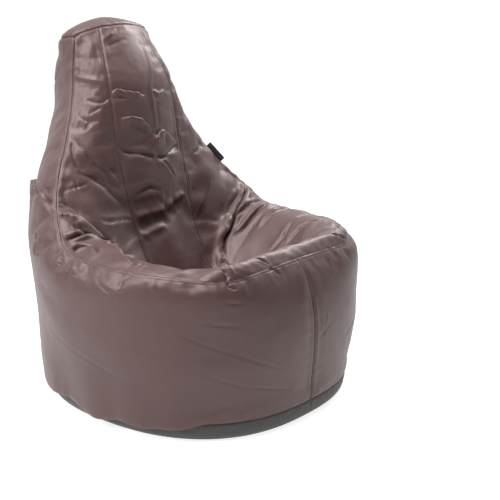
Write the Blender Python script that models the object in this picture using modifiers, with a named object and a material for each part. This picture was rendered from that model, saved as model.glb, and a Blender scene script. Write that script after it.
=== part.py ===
"""High-back bean bag chair: a sewn cover round a zipped liner that is filled with beads.

Metres, +Z up. The sitter faces -Y, the floor is z = 0 and the base is centred near the origin.
One surface, the skin, is described by a few key curves. Every sewn panel is cut from it, so the
panels meet at the real seams, and the liner and the filling are the same skin drawn further in.
"""

import math

import bmesh
import bpy
import numpy as np
from mathutils import Matrix

# ---------------------------------------------------------------- driving dimensions (metres)
COVER_THICK = 0.0015
LINER_THICK = 0.0008
LINER_DEPTH = 0.0085  # from the skin to the liner's outer face
FILL_DEPTH = 0.0165  # from the skin to the filling
SEAM_GAP = 0.0004  # between two panels at a seam

BASE_HALF_WIDTH = 0.345
BASE_FRONT_Y = -0.382
BASE_REAR_Y = 0.350
BASE_SEAM_Z = 0.045
BASE_TURN_INSET = -0.002  # where the base turns under, inside the base seam
BASE_FLAT_INSET = 0.028  # the flat floor area starts this far inside the base seam
BELLY_HALF_WIDTH = 0.389
BELLY_FRONT_Y = -0.392
BELLY_REAR_Y = 0.374
BELLY_REAR_SWELL = 0.042  # extra depth of the belly behind the back rest
BELLY_REAR_NARROWING = 0.030
FRONT_POWER = 2.5  # 2 is an ellipse, more is squarer
REAR_POWER = 2.3
RAISED_POWER_DROP = 0.3  # the belly is rounder where it is higher
RAISED_Z, RAISED_SPAN = 0.20, 0.25  # the belly counts as raised from this height, fully after the span
SWELL_POWER = 0.8
CAP_CROWN = 0.031
CROWN_ALONG_POWER, CROWN_ACROSS_POWER = 0.8, 0.7  # less than 1 makes the crown flatter on top

ACROSS_SIDE = 3  # grid steps across an inner side panel
ACROSS_CENTRE = 2  # grid steps from the centre panel's seam to the middle
ALONG = 20  # grid steps along the arm and the back rest
UP_WALL = 7  # grid steps from the base seam to the rim seam
CAP_STEPS = 3

# The upper edge of the outer wall, right round one half: the rim seam from the front middle to
# the back of the arm, the seam up the edge of the back rest, and the rear edge of the head cap.
RIM_SEAM = [
    (0, -0.336, 0.387), (0.078, -0.336, 0.386), (0.165, -0.334, 0.383), (0.237, -0.318, 0.380),
    (0.292, -0.268, 0.388), (0.335, -0.205, 0.394), (0.354, -0.120, 0.397), (0.359, -0.021, 0.400),
    (0.355, 0.060, 0.417),
]
BACK_SEAM = [
    (0.340, 0.094, 0.449), (0.308, 0.140, 0.498), (0.266, 0.177, 0.560), (0.208, 0.211, 0.645),
    (0.174, 0.233, 0.702), (0.150, 0.249, 0.755), (0.135, 0.259, 0.816), (0.127, 0.265, 0.870),
]
CAP_REAR_SEAM = [(0.124, 0.312, 0.866), (0.076, 0.350, 0.862), (0, 0.364, 0.860)]
UPPER_EDGE = np.array(RIM_SEAM + BACK_SEAM + CAP_REAR_SEAM, float)
PANEL_KEY, CORNER_KEY, CAP_KEY = 1, 3, 16  # where the centre panel, the front corner and the cap are

# Where each key column of the wall stands: its angle round the base and round the belly, in
# degrees from the front, and the belly's height.
WALL_COLUMNS = np.array([
    (0, 0, 0.20), (12, 12, 0.20), (26, 26, 0.20), (40, 40, 0.20), (54, 53, 0.21),
    (68, 67, 0.22), (82, 81, 0.24), (96, 96, 0.27), (106, 108, 0.30), (111, 114, 0.33),
    (117, 121, 0.36), (123, 128, 0.38), (132, 138, 0.41), (139, 145, 0.42), (146, 152, 0.43),
    (153, 158, 0.44), (160, 163, 0.45), (166, 168, 0.45), (172, 173, 0.45), (180, 180, 0.45),
])
BELLY_SHARE = 0.45  # share of the wall's grid below the belly
# How far the wall rolls out and down from its upper edge, and how much more it does so behind
ROLL_OUT, ROLL_OUT_BEHIND = 0.036, 0.029
ROLL_DOWN, ROLL_DOWN_BEHIND = 0.030, 0.050
ROLL_NARROW_Z, ROLL_NARROW_SPAN, ROLL_NARROWING = 0.60, 0.16, 0.40  # less of it near the head
ROLL_HANDLE = 0.4  # length of the curve's handle above the belly, as a share of the height
BASE_SHARES = [0, 0.4, 1]  # grid lines of the base, from its seam to the flat area

# Sections across the seat and the back rest: the key on UPPER_EDGE that each one starts from,
# two points on the inner side panel, one on the centre panel's seam and one in the middle.
SECTIONS = [
    (3, (0.185, -0.334, 0.382), (0.130, -0.336, 0.384), (0.078, -0.336, 0.386), (0, -0.336, 0.387)),
    (3.45, (0.212, -0.304, 0.403), (0.146, -0.307, 0.408), (0.081, -0.308, 0.409), (0, -0.308, 0.410)),
    (4, (0.232, -0.262, 0.400), (0.160, -0.268, 0.396), (0.083, -0.272, 0.386), (0, -0.274, 0.384)),
    (5, (0.270, -0.205, 0.401), (0.183, -0.213, 0.350), (0.090, -0.220, 0.300), (0, -0.222, 0.292)),
    (6, (0.292, -0.122, 0.404), (0.195, -0.130, 0.315), (0.096, -0.135, 0.242), (0, -0.137, 0.232)),
    (7, (0.295, -0.020, 0.411), (0.205, -0.025, 0.332), (0.100, -0.032, 0.250), (0, -0.036, 0.240)),
    (8, (0.285, 0.046, 0.421), (0.203, 0.038, 0.362), (0.102, 0.040, 0.305), (0, 0.033, 0.298)),
    (9, (0.278, 0.078, 0.437), (0.196, 0.072, 0.392), (0.104, 0.085, 0.395), (0, 0.077, 0.392)),
    (10, (0.256, 0.132, 0.492), (0.182, 0.120, 0.500), (0.108, 0.114, 0.507), (0, 0.106, 0.505)),
    (11.6, (0.210, 0.172, 0.607), (0.167, 0.149, 0.610), (0.109, 0.140, 0.611), (0, 0.128, 0.611)),
    (13.3, (0.158, 0.208, 0.724), (0.140, 0.177, 0.724), (0.106, 0.160, 0.724), (0, 0.144, 0.724)),
    (14.75, (0.136, 0.226, 0.800), (0.120, 0.200, 0.798), (0.095, 0.184, 0.797), (0, 0.170, 0.800)),
    (16, (0.110, 0.253, 0.882), (0.088, 0.245, 0.889), (0.065, 0.239, 0.894), (0, 0.233, 0.899)),
]
SECTION_STATIONS = np.array([0, 0.33, 0.66, 1, 2, 3])  # edge, two side points, seam, middle, far seam

# Zip in the rear centre seam, which runs straight between these heights.
COVER_ZIP_LOW_Z = 0.085
COVER_ZIP_HIGH_Z = 0.435
LINER_ZIP_LENGTH = 0.300
LINER_ZIP_Y = 0.020
ZIP_SLOT = 0.010
ZIP_CUT_DEPTH = 0.006
TAPE_WIDTH = 0.014
TAPE_THICK = 0.0006
TAPE_FACE = 0.0027  # depth of the tape's outer face below the skin
TOOTH_PITCH = 0.003
TOOTH_TOP = 0.0009  # depth of the teeth's outer face
TEETH_THICK = 0.0014
TEETH_INNER_X = 0.0007
TEETH_TIP = 0.0009  # how far the teeth stand out from their spine
TEETH_OUTER_X = 0.0029
SLIDER_WIDTH = 0.0084
SLIDER_LENGTH = 0.011
SLIDER_TOP = 0.0011
SLIDER_PLATE = 0.0016
SLIDER_LOW_PLATE = 0.0010
SLIDER_LOW_FACE = -0.0037
SLIDER_KEEL = 0.0008
BAIL_LENGTH = 0.009
BAIL_WIDTH = 0.0018
BAIL_TOP = 0.0046
BAIL_BAR = 0.0011
PULL_AXIS_OUT = 0.0024  # the pull's hinge axis stands this far out from the skin
PULL_LENGTH = 0.030
PULL_WIDTH = 0.0070
PULL_RIM = 0.0013
PULL_THICK = 0.0010
PULL_WINDOW = 0.0075
PULL_EYE = 0.0007  # half the height of the pull's ring above and below its hinge
PULL_NECK = 0.004  # length of the taper below the window
PULL_CHAMFER = 0.002
PULL_TIP_SHARE = 0.72  # width of the tip as a share of the pull's width
STOP_LENGTH = 0.0025
STOP_HALF_WIDTH = 0.0034
STOP_CLEAR = 0.001  # between a stop and the first tooth
STOP_BELOW, STOP_ABOVE = 0.0004, 0.0003  # clearances over the tape and over the teeth's face
TAPE_BEYOND = 0.005  # how far the tape runs past each stop
SLIDER_REST = 0.0015  # between the closed slider and the top stop
LAP = 0.0001  # how far joined solids run into each other

TAG_LENGTH = 0.062
TAG_REACH = 0.016
TAG_THICK = 0.0014
TAG_CLEAR = 0.003  # between the seam and the tag's sewn edge
TAG_KEY = 10.7  # place of the tag's middle along UPPER_EDGE

# ---------------------------------------------------------------- colours and finishes
FINISHES = {
    "faux_leather": ((0.125, 0.078, 0.074), 0.42, 0.0),
    "base_canvas": ((0.060, 0.055, 0.052), 0.85, 0.0),
    "liner_cotton": ((0.70, 0.68, 0.63), 0.90, 0.0),
    "bead_foam": ((0.86, 0.86, 0.84), 0.75, 0.0),
    "zip_tape": ((0.075, 0.050, 0.048), 0.90, 0.0),
    "zip_coil": ((0.060, 0.042, 0.040), 0.45, 0.0),
    "zip_metal": ((0.30, 0.28, 0.26), 0.30, 1.0),
    "tag_fabric": ((0.016, 0.016, 0.020), 0.80, 0.0),
}


def clear_scene():
    for obj in list(bpy.data.objects):
        bpy.data.objects.remove(obj, do_unlink=True)


def new_collection(name):
    made = bpy.data.collections.new(name)
    bpy.context.scene.collection.children.link(made)
    return made


def material(finish):
    """The finish's material, one to each piece so that a piece can be recoloured alone."""
    colour, roughness, metallic = FINISHES[finish]
    made = bpy.data.materials.new(finish)
    made.use_nodes = True
    shader = made.node_tree.nodes["Principled BSDF"]
    shader.inputs["Base Color"].default_value = (*colour, 1)
    shader.inputs["Roughness"].default_value = roughness
    shader.inputs["Metallic"].default_value = metallic
    made.diffuse_color = (*colour, 1)
    return made


def add_object(name, data, finish, collection, parent=None):
    obj = bpy.data.objects.new(name, data)
    collection.objects.link(obj)
    data.materials.append(material(finish))
    obj.parent = parent
    return obj


# ---------------------------------------------------------------- curves and surfaces
def spline(keys, stations, at):
    """A smooth curve through keys, which stand at the given stations, read at the values in at."""
    keys = np.asarray(keys, float)
    stations = np.asarray(stations, float)
    at = np.asarray(at, float)
    steps = np.diff(stations)
    extra = (1,) * (keys.ndim - 1)
    slopes = np.diff(keys, axis=0) / steps.reshape(-1, *extra)
    tangents = np.zeros_like(keys)
    weight = (steps[:-1] / (steps[:-1] + steps[1:])).reshape(-1, *extra)
    tangents[1:-1] = slopes[:-1] * (1 - weight) + slopes[1:] * weight
    tangents[0] = 1.5 * slopes[0] - 0.5 * tangents[1]
    tangents[-1] = 1.5 * slopes[-1] - 0.5 * tangents[-2]
    i = np.clip(np.searchsorted(stations, at, side="right") - 1, 0, len(steps) - 1)
    x = ((at - stations[i]) / steps[i]).reshape(-1, *extra)
    h = steps[i].reshape(-1, *extra)
    return (
        (2 * x**3 - 3 * x**2 + 1) * keys[i]
        + (x**3 - 2 * x**2 + x) * h * tangents[i]
        + (3 * x**2 - 2 * x**3) * keys[i + 1]
        + (x**3 - x**2) * h * tangents[i + 1]
    )


def along(points):
    """Each point's distance along the line through them."""
    return np.concatenate([[0], np.cumsum(np.linalg.norm(np.diff(points, axis=0), axis=1))])


EDGE_STATIONS = along(UPPER_EDGE)


def station(key):
    """The distance along the upper edge of a key, which may lie between two points."""
    return np.interp(key, np.arange(len(UPPER_EDGE)), EDGE_STATIONS)


def upper_edge(stations):
    return spline(UPPER_EDGE, EDGE_STATIONS, stations)


def oval(half_width, front, rear, height, degrees, power):
    """A point of a squarish oval, at an angle from its front."""
    angle = math.radians(degrees)
    sine = abs(math.sin(angle)) ** (2 / power)
    cosine = math.copysign(abs(math.cos(angle)) ** (2 / power), math.cos(angle))
    return np.array([half_width * sine, (front + rear) / 2 - (rear - front) / 2 * cosine, height])


def oval_power(degrees):
    """The ovals are squarer in front than behind."""
    return REAR_POWER + (FRONT_POWER - REAR_POWER) * (1 + math.cos(math.radians(degrees))) / 2


def base_oval(degrees, inset, height):
    return oval(BASE_HALF_WIDTH - inset, BASE_FRONT_Y + inset, BASE_REAR_Y - inset, height, degrees,
                oval_power(degrees))


def bezier(a, b, c, d, s):
    return (1 - s) ** 3 * a + 3 * s * (1 - s) ** 2 * b + 3 * s * s * (1 - s) * c + s**3 * d


def wall_column(at, shares):
    """One column of the outer wall, from the base seam to the upper edge."""
    base_deg, belly_deg, belly_z = spline(WALL_COLUMNS, EDGE_STATIONS, [at])[0]
    top = upper_edge([at])[0]
    foot = base_oval(base_deg, 0, BASE_SEAM_Z)
    raised = min(max((belly_z - RAISED_Z) / RAISED_SPAN, 0), 1)
    belly = oval(
        BELLY_HALF_WIDTH - BELLY_REAR_NARROWING * raised, BELLY_FRONT_Y,
        BELLY_REAR_Y + BELLY_REAR_SWELL * raised**SWELL_POWER, belly_z, belly_deg,
        oval_power(belly_deg) - RAISED_POWER_DROP * raised,
    )
    behind = min(max((belly_deg - 90) / 90, 0), 1)
    lean = (belly - foot) / np.linalg.norm(belly - foot)
    upright = np.array([0, 0, 1])
    rise = upright * (1 - behind) + lean * behind
    rise = rise / np.linalg.norm(rise)
    outward = oval(1, -1, 1, 0, belly_deg, 2)
    low = np.linalg.norm(belly - foot) / 3
    high = np.linalg.norm(top - belly) * ROLL_HANDLE
    narrow = 1 - ROLL_NARROWING * min(max((top[2] - ROLL_NARROW_Z) / ROLL_NARROW_SPAN, 0), 1)
    out = (ROLL_OUT + ROLL_OUT_BEHIND * behind) * narrow
    roll = top + outward * out - upright * (ROLL_DOWN + ROLL_DOWN_BEHIND * behind)
    points = []
    for share in shares:
        if share <= BELLY_SHARE:
            s = share / BELLY_SHARE
            points.append(bezier(foot, foot + rise * low, belly - rise * low, belly, s))
        else:
            s = (share - BELLY_SHARE) / (1 - BELLY_SHARE)
            points.append(bezier(belly, belly + rise * high, roll, top, s))
    return points


def base_column(at, shares):
    """One column of the base, from its seam round to the flat area."""
    degrees = spline(WALL_COLUMNS, EDGE_STATIONS, [at])[0, 0]
    seam = base_oval(degrees, 0, BASE_SEAM_Z)
    turn = base_oval(degrees, BASE_TURN_INSET, 0)
    flat = base_oval(degrees, BASE_FLAT_INSET, 0)
    return [(1 - s) ** 2 * seam + 2 * s * (1 - s) * turn + s * s * flat for s in shares]


SECTION_EDGES = np.array([station(section[0]) for section in SECTIONS])
SECTION_POINTS = np.array([section[1:] for section in SECTIONS], float)


def section(at, stations):
    """Points across the seat or back rest, from the upper edge to the middle."""
    inside = spline(SECTION_POINTS, SECTION_EDGES, [at])[0]
    mirrored = inside[2] * [-1, 1, 1]
    return spline(np.vstack([upper_edge([at]), inside, mirrored]), SECTION_STATIONS, stations)


def half_skin():
    """The half at +X: named grids of points, each as rows of columns."""
    shares = np.linspace(0, 1, UP_WALL + 1)
    side = np.linspace(0, 1, ACROSS_SIDE + 1)
    centre = np.linspace(1, 2, ACROSS_CENTRE + 1)
    across = np.concatenate([side, centre[1:]])
    corner, panel, cap = station(CORNER_KEY), station(PANEL_KEY), station(CAP_KEY)
    front = np.concatenate([
        np.linspace(0, panel, ACROSS_CENTRE + 1),
        np.linspace(panel, corner, ACROSS_SIDE + 1)[1:],
    ])
    arm = station(np.linspace(CORNER_KEY, CAP_KEY, ALONG + 1))
    rear = np.linspace(cap, EDGE_STATIONS[-1], len(across))
    columns = np.concatenate([front, arm[1:], rear[1:]])
    wall = np.array([wall_column(at, shares) for at in columns])
    base = np.array([base_column(at, BASE_SHARES) for at in columns])
    inner = np.array([section(at, across) for at in arm])
    inner[0] = upper_edge(front[::-1])
    share = np.linspace(0, 1, CAP_STEPS + 1)[:, None, None]
    rear_edge = upper_edge(rear)
    crown = np.sin(np.pi * share) ** CROWN_ALONG_POWER
    crown = crown * np.sin(np.pi / 4 * across)[None, :, None] ** CROWN_ACROSS_POWER
    head = inner[-1] * (1 - share) + rear_edge * share + crown * [0, 0, CAP_CROWN]
    return {
        "wall": wall, "base": base, "head": head,
        "side": inner[:, : ACROSS_SIDE + 1], "centre": inner[:, ACROSS_SIDE:],
    }


class Skin:
    """The whole closed surface: points, outward normals, and the faces of each sewn region."""

    def __init__(self):
        self.points = []
        self.index = {}
        self.faces = {}
        grids = half_skin()
        middle = self.point((0, (BASE_FRONT_Y + BASE_REAR_Y) / 2, 0))
        for side, sign in (("left", 1), ("right", -1)):
            for region, grid in grids.items():
                self.add_grid(f"{region}_{side}", grid * [sign, 1, 1], sign, region)
            rim = [self.point(p) for p in grids["base"][:, -1] * [sign, 1, 1]]
            for a, b in zip(rim, rim[1:]):
                self.faces[f"base_{side}"].append((a, b, middle)[::-sign])
        self.points = np.array(self.points)
        self.normals = self.vertex_normals()

    def point(self, place):
        key = tuple(int(round(v * 1e6)) for v in place)
        if key not in self.index:
            self.index[key] = len(self.points)
            self.points.append(np.array(place, float))
        return self.index[key]

    def add_grid(self, name, grid, sign, region):
        faces_up = region != "base"  # the base's grid runs inwards, so its faces turn the other way
        faces = []
        for i in range(len(grid) - 1):
            for j in range(len(grid[0]) - 1):
                corners = [grid[i][j], grid[i + 1][j], grid[i + 1][j + 1], grid[i][j + 1]]
                loop = []
                for corner in corners:
                    at = self.point(corner)
                    if at not in loop:
                        loop.append(at)
                if (sign > 0) != faces_up:
                    loop.reverse()
                faces.extend(self.triangles(loop))
        self.faces[name] = faces

    def triangles(self, loop):
        """A quad cut along its shorter diagonal, so that every layer of the chair is cut alike."""
        if len(loop) < 4:
            return [tuple(loop)] if len(loop) == 3 else []
        a, b, c, d = loop
        first = np.linalg.norm(self.points[a] - self.points[c])
        second = np.linalg.norm(self.points[b] - self.points[d])
        if first <= second:
            return [(a, b, c), (a, c, d)]
        return [(a, b, d), (b, c, d)]

    def vertex_normals(self):
        normals = np.zeros_like(self.points)
        for faces in self.faces.values():
            for face in faces:
                a, b, c = self.points[list(face)]
                normals[list(face)] += np.cross(b - a, c - a)
        return normals / np.linalg.norm(normals, axis=1)[:, None]

    def region(self, *names):
        return [face for name in names for face in self.faces[name]]


def border_edges(faces):
    """The directed edges that only one of the faces has."""
    edges = {(a, b) for face in faces for a, b in zip(face, face[1:] + face[:1])}
    return [(a, b) for a, b in edges if (b, a) not in edges]


def sheet_mesh(name, skin, faces, depth, thick):
    """A closed sheet of fabric, depth below the skin, pulled back a little from its seams."""
    border = sorted(border_edges(faces))
    pull = {}
    for a, b in border:
        run = skin.points[b] - skin.points[a]
        for at in (a, b):
            inward = np.cross(skin.normals[at], run)
            pull[at] = pull.get(at, 0) + inward / np.linalg.norm(inward)
    used = sorted({at for face in faces for at in face})
    count = len(used)
    order = {at: i for i, at in enumerate(used)}
    outer, inner = [], []
    for at in used:
        place = skin.points[at].copy()
        if at in pull and np.linalg.norm(pull[at]) > 0.1:
            place += pull[at] / np.linalg.norm(pull[at]) * SEAM_GAP / 2
        outer.append(place - skin.normals[at] * depth)
        inner.append(place - skin.normals[at] * (depth + thick))
    loops = [[order[at] for at in face] for face in faces]
    loops += [[order[at] + count for at in face][::-1] for face in faces]
    loops += [[order[b], order[a], order[a] + count, order[b] + count] for a, b in border]
    mesh = bpy.data.meshes.new(name)
    mesh.from_pydata([tuple(p) for p in outer + inner], [], loops)
    mesh.shade_smooth()
    mesh.set_sharp_from_angle(angle=math.radians(50))
    return mesh


def solid_mesh(name, skin, depth):
    """The closed solid inside the skin, depth below it."""
    faces = skin.region(*skin.faces)
    mesh = bpy.data.meshes.new(name)
    places = skin.points - skin.normals * depth
    mesh.from_pydata([tuple(p) for p in places], [], [list(face) for face in faces])
    mesh.shade_smooth()
    return mesh


# ---------------------------------------------------------------- simple solids
def box_mesh(name, low, high):
    mesh = bpy.data.meshes.new(name)
    cage = bmesh.new()
    bmesh.ops.create_cube(cage, size=1)
    low, high = np.array(low, float), np.array(high, float)
    for vert in cage.verts:
        vert.co = (low + high) / 2 + np.array(vert.co) * (high - low)
    cage.to_mesh(mesh)
    cage.free()
    return mesh


def plate_curve(name, outlines, thick):
    """A flat plate from closed outlines, the first outside and the rest holes."""
    curve = bpy.data.curves.new(name, "CURVE")
    curve.dimensions = "2D"
    curve.fill_mode = "BOTH"
    curve.extrude = thick / 2
    for outline in outlines:
        line = curve.splines.new("POLY")
        line.points.add(len(outline) - 1)
        line.use_cyclic_u = True
        for point, (x, y) in zip(line.points, outline):
            point.co = (x, y, 0, 1)
    return curve


def joined(obj, helper, operation="UNION"):
    """Adds the Boolean of a helper solid to an object."""
    cut = obj.modifiers.new(helper.name, "BOOLEAN")
    cut.operation = operation
    cut.object = helper


def helper_box(name, low, high, helpers, parent=None):
    obj = bpy.data.objects.new(name, box_mesh(name, low, high))
    helpers.objects.link(obj)
    obj.hide_render = True
    obj.display_type = "WIRE"
    obj.parent = parent
    return obj


def frame_empty(name, place, tilt, collection):
    """An empty whose X runs across a zip, Y along it and Z out of the fabric."""
    obj = bpy.data.objects.new(name, None)
    collection.objects.link(obj)
    obj.location = place
    obj.rotation_euler = tilt
    return obj


# ---------------------------------------------------------------- the zip
def teeth_mesh(name, length, sign, shift):
    """One row of teeth, open and flat: a straight spine with pointed teeth towards the middle."""
    count = int(length / TOOTH_PITCH) - 1
    tip = TEETH_INNER_X
    root = TEETH_INNER_X + TEETH_TIP
    edge = [(root, -length / 2)]
    for i in range(count):
        foot = -length / 2 + (i + 0.5 + shift) * TOOTH_PITCH
        edge.append((tip, foot + TOOTH_PITCH / 2))
        edge.append((root, foot + TOOTH_PITCH))
    edge.append((root, length / 2))
    rows = [((sign * x, y, 0), (sign * TEETH_OUTER_X, y, 0)) for x, y in edge]
    quads = [(2 * i, 2 * i + 1, 2 * i + 3, 2 * i + 2)[::sign] for i in range(len(rows) - 1)]
    mesh = bpy.data.meshes.new(name)
    mesh.from_pydata([point for row in rows for point in row], [], quads)
    return mesh


def pull_outlines():
    """Tapered tab with a window at its upper end, hanging from the origin, and its ring."""
    half, tip = PULL_WIDTH / 2, PULL_WIDTH / 2 * PULL_TIP_SHARE
    low, neck = -PULL_LENGTH, -PULL_WINDOW - PULL_NECK
    edge = [
        (half, PULL_EYE), (half, -PULL_WINDOW), (tip, neck), (tip, low + PULL_CHAMFER),
        (tip - PULL_CHAMFER, low),
    ]
    outside = edge + [(-x, y) for x, y in reversed(edge)]
    inner = half - PULL_RIM
    window = [(inner, -PULL_EYE), (inner, PULL_EYE - PULL_WINDOW)]
    window += [(-x, y) for x, y in reversed(window)]
    return [outside, window]


def add_zip(prefix, length, place, tilt, parts, helpers):
    """A zip on its own frame: tapes, teeth, stops and slider, closed at its +Y end."""
    frame = frame_empty(f"{prefix}_frame", place, tilt, parts)
    teeth_length = length - 2 * (STOP_LENGTH + STOP_CLEAR)
    for side, sign, shift in (("left", 1, 0), ("right", -1, 0.5)):
        near, far = sorted((sign * TEETH_INNER_X, sign * (TEETH_INNER_X + TAPE_WIDTH)))
        low = (near, -length / 2 - TAPE_BEYOND, -TAPE_FACE - TAPE_THICK)
        high = (far, length / 2 + TAPE_BEYOND, -TAPE_FACE)
        name = f"{prefix}_tape_{side}"
        add_object(name, box_mesh(name, low, high), "zip_tape", parts, frame)
        name = f"{prefix}_teeth_{side}"
        teeth = add_object(name, teeth_mesh(name, teeth_length, sign, shift), "zip_coil", parts, frame)
        teeth.location.z = -TOOTH_TOP
        thickness = teeth.modifiers.new("thickness", "SOLIDIFY")
        thickness.thickness = TEETH_THICK
    for end, sign in (("top", 1), ("bottom", -1)):
        name = f"{prefix}_{end}_stop"
        inner, outer = sorted((sign * (length / 2 - STOP_LENGTH), sign * length / 2))
        low = (-STOP_HALF_WIDTH, inner, -TAPE_FACE + STOP_BELOW)
        high = (STOP_HALF_WIDTH, outer, -TOOTH_TOP + STOP_ABOVE)
        add_object(name, box_mesh(name, low, high), "zip_metal", parts, frame)

    closed_at = length / 2 - STOP_LENGTH - SLIDER_REST - SLIDER_LENGTH / 2
    half_w, half_l = SLIDER_WIDTH / 2, SLIDER_LENGTH / 2
    name = f"{prefix}_slider"
    plate = box_mesh(name, (-half_w, -half_l, SLIDER_TOP - SLIDER_PLATE), (half_w, half_l, SLIDER_TOP))
    slider = add_object(name, plate, "zip_metal", parts, frame)
    slider.location.y = closed_at
    under = SLIDER_LOW_FACE - SLIDER_LOW_PLATE
    joins = {
        "low_plate": ((-half_w, -half_l, under), (half_w, half_l, SLIDER_LOW_FACE)),
        "keel": ((-SLIDER_KEEL / 2, -half_l + LAP, SLIDER_LOW_FACE - LAP),
                 (SLIDER_KEEL / 2, half_l - LAP, SLIDER_TOP - SLIDER_PLATE + LAP)),
        "bail": ((-BAIL_WIDTH / 2, -BAIL_LENGTH / 2, SLIDER_TOP - LAP),
                 (BAIL_WIDTH / 2, BAIL_LENGTH / 2, BAIL_TOP)),
    }
    for part, (low, high) in joins.items():
        joined(slider, helper_box(f"{name}_{part}", low, high, helpers, slider))
    eye = helper_box(
        f"{name}_eye", (-BAIL_WIDTH, -BAIL_LENGTH / 2 + BAIL_BAR, SLIDER_TOP),
        (BAIL_WIDTH, BAIL_LENGTH / 2 - BAIL_BAR, BAIL_TOP - BAIL_BAR), helpers, slider,
    )
    joined(slider, eye, "DIFFERENCE")

    return frame, slider


def add_pull(name, slider, tilt, parts):
    """The slider's tab, hanging straight down from its hinge through the bail."""
    pull = add_object(name, plate_curve(name, pull_outlines(), PULL_THICK), "zip_metal", parts, slider)
    pull.location.z = PULL_AXIS_OUT
    pull.rotation_euler.x = tilt


def zip_cutter(name, length, frame, helpers):
    """The slot that a zip is sewn into."""
    low = (-ZIP_SLOT / 2, -length / 2, -ZIP_CUT_DEPTH)
    high = (ZIP_SLOT / 2, length / 2, ZIP_CUT_DEPTH)
    return helper_box(name, low, high, helpers, frame)


# ---------------------------------------------------------------- the pieces
def rear_line(height):
    """A point of the rear centre seam's straight stretch."""
    foot = np.array(wall_column(EDGE_STATIONS[-1], [0])[0])
    belly = np.array(wall_column(EDGE_STATIONS[-1], [BELLY_SHARE])[0])
    share = (height - foot[2]) / (belly[2] - foot[2])
    return foot + (belly - foot) * share


def add_cover(skin, parts):
    panels = {
        "outer_panel_left": (("wall_left",), "faux_leather"),
        "outer_panel_right": (("wall_right",), "faux_leather"),
        "seat_side_panel_left": (("side_left",), "faux_leather"),
        "seat_side_panel_right": (("side_right",), "faux_leather"),
        "seat_centre_panel": (("centre_left", "centre_right"), "faux_leather"),
        "head_cap": (("head_left", "head_right"), "faux_leather"),
        "base_panel": (("base_left", "base_right"), "base_canvas"),
    }
    made = {}
    for name, (regions, finish) in panels.items():
        mesh = sheet_mesh(name, skin, skin.region(*regions), 0, COVER_THICK)
        made[name] = add_object(name, mesh, finish, parts)
    return made


def add_liner(skin, parts):
    upper = ("side_left", "side_right", "centre_left", "centre_right", "head_left", "head_right")
    panels = {
        "liner_wall_left": ("wall_left",),
        "liner_wall_right": ("wall_right",),
        "liner_seat": upper,
        "liner_base": ("base_left", "base_right"),
    }
    made = {}
    for name, regions in panels.items():
        mesh = sheet_mesh(name, skin, skin.region(*regions), LINER_DEPTH, LINER_THICK)
        made[name] = add_object(name, mesh, "liner_cotton", parts)
    return made


def add_tag(skin, parts):
    """A plain woven tab caught in the left seam of the back rest, standing straight out of it."""
    middle, ahead = upper_edge([station(TAG_KEY), station(TAG_KEY) + 0.01])
    run = (ahead - middle) / np.linalg.norm(ahead - middle)
    nearest = np.argmin(np.linalg.norm(skin.points - middle, axis=1))
    out = skin.normals[nearest] - run * np.dot(skin.normals[nearest], run)
    out = out / np.linalg.norm(out)
    side = np.cross(run, out)
    low = (-TAG_THICK / 2, -TAG_LENGTH / 2, TAG_CLEAR)
    high = (TAG_THICK / 2, TAG_LENGTH / 2, TAG_CLEAR + TAG_REACH)
    mesh = box_mesh("side_tag", low, high)
    tag = add_object("side_tag", mesh, "tag_fabric", parts)
    matrix = np.eye(4)
    matrix[:3, 0], matrix[:3, 1], matrix[:3, 2], matrix[:3, 3] = side, run, out, middle
    tag.matrix_world = Matrix(matrix)


def main():
    clear_scene()
    parts = new_collection("bean_bag_chair")
    helpers = new_collection("cutters")
    skin = Skin()
    cover = add_cover(skin, parts)
    liner = add_liner(skin, parts)
    fill = solid_mesh("bead_fill", skin, FILL_DEPTH)
    add_object("bead_fill", fill, "bead_foam", parts)
    add_tag(skin, parts)

    low, high = rear_line(COVER_ZIP_LOW_Z), rear_line(COVER_ZIP_HIGH_Z)
    run = high - low
    slope = math.atan2(run[2], run[1])  # the seam's slope, seen from the side
    length = np.linalg.norm(run)
    # Y runs up the seam and Z out of the back
    tilt = (math.pi - slope, 0, math.pi)
    rear_frame, slider = add_zip("cover_zip", length, (low + high) / 2, tilt, parts, helpers)
    add_pull("cover_zip_pull", slider, slope - math.pi / 2, parts)
    slot = zip_cutter("cover_zip_slot", length, rear_frame, helpers)
    joined(cover["outer_panel_left"], slot, "DIFFERENCE")
    joined(cover["outer_panel_right"], slot, "DIFFERENCE")

    # the liner's zip lies in its base, facing the floor, and runs across the chair; so that a
    # child cannot open it, it has no pull
    place = (0, LINER_ZIP_Y, LINER_DEPTH)
    tilt = (math.pi, 0, math.pi / 2)
    liner_frame, _ = add_zip("liner_zip", LINER_ZIP_LENGTH, place, tilt, parts, helpers)
    slot = zip_cutter("liner_zip_slot", LINER_ZIP_LENGTH, liner_frame, helpers)
    joined(liner["liner_base"], slot, "DIFFERENCE")


main()
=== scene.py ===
"""High-back bean bag chair in faux leather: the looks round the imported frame.

The cover's skin is drawn from the same key curves as the frame's panels, then loosened by a cloth
simulation with the seams held, folded where a used chair folds, and cut into panels whose edges
turn in at the seams. Metres, +Z up, the sitter faces -Y.
"""

import math

import bmesh
import bpy
import numpy as np
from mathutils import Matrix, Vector, noise
from mathutils.kdtree import KDTree
from numpy.linalg import norm


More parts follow.
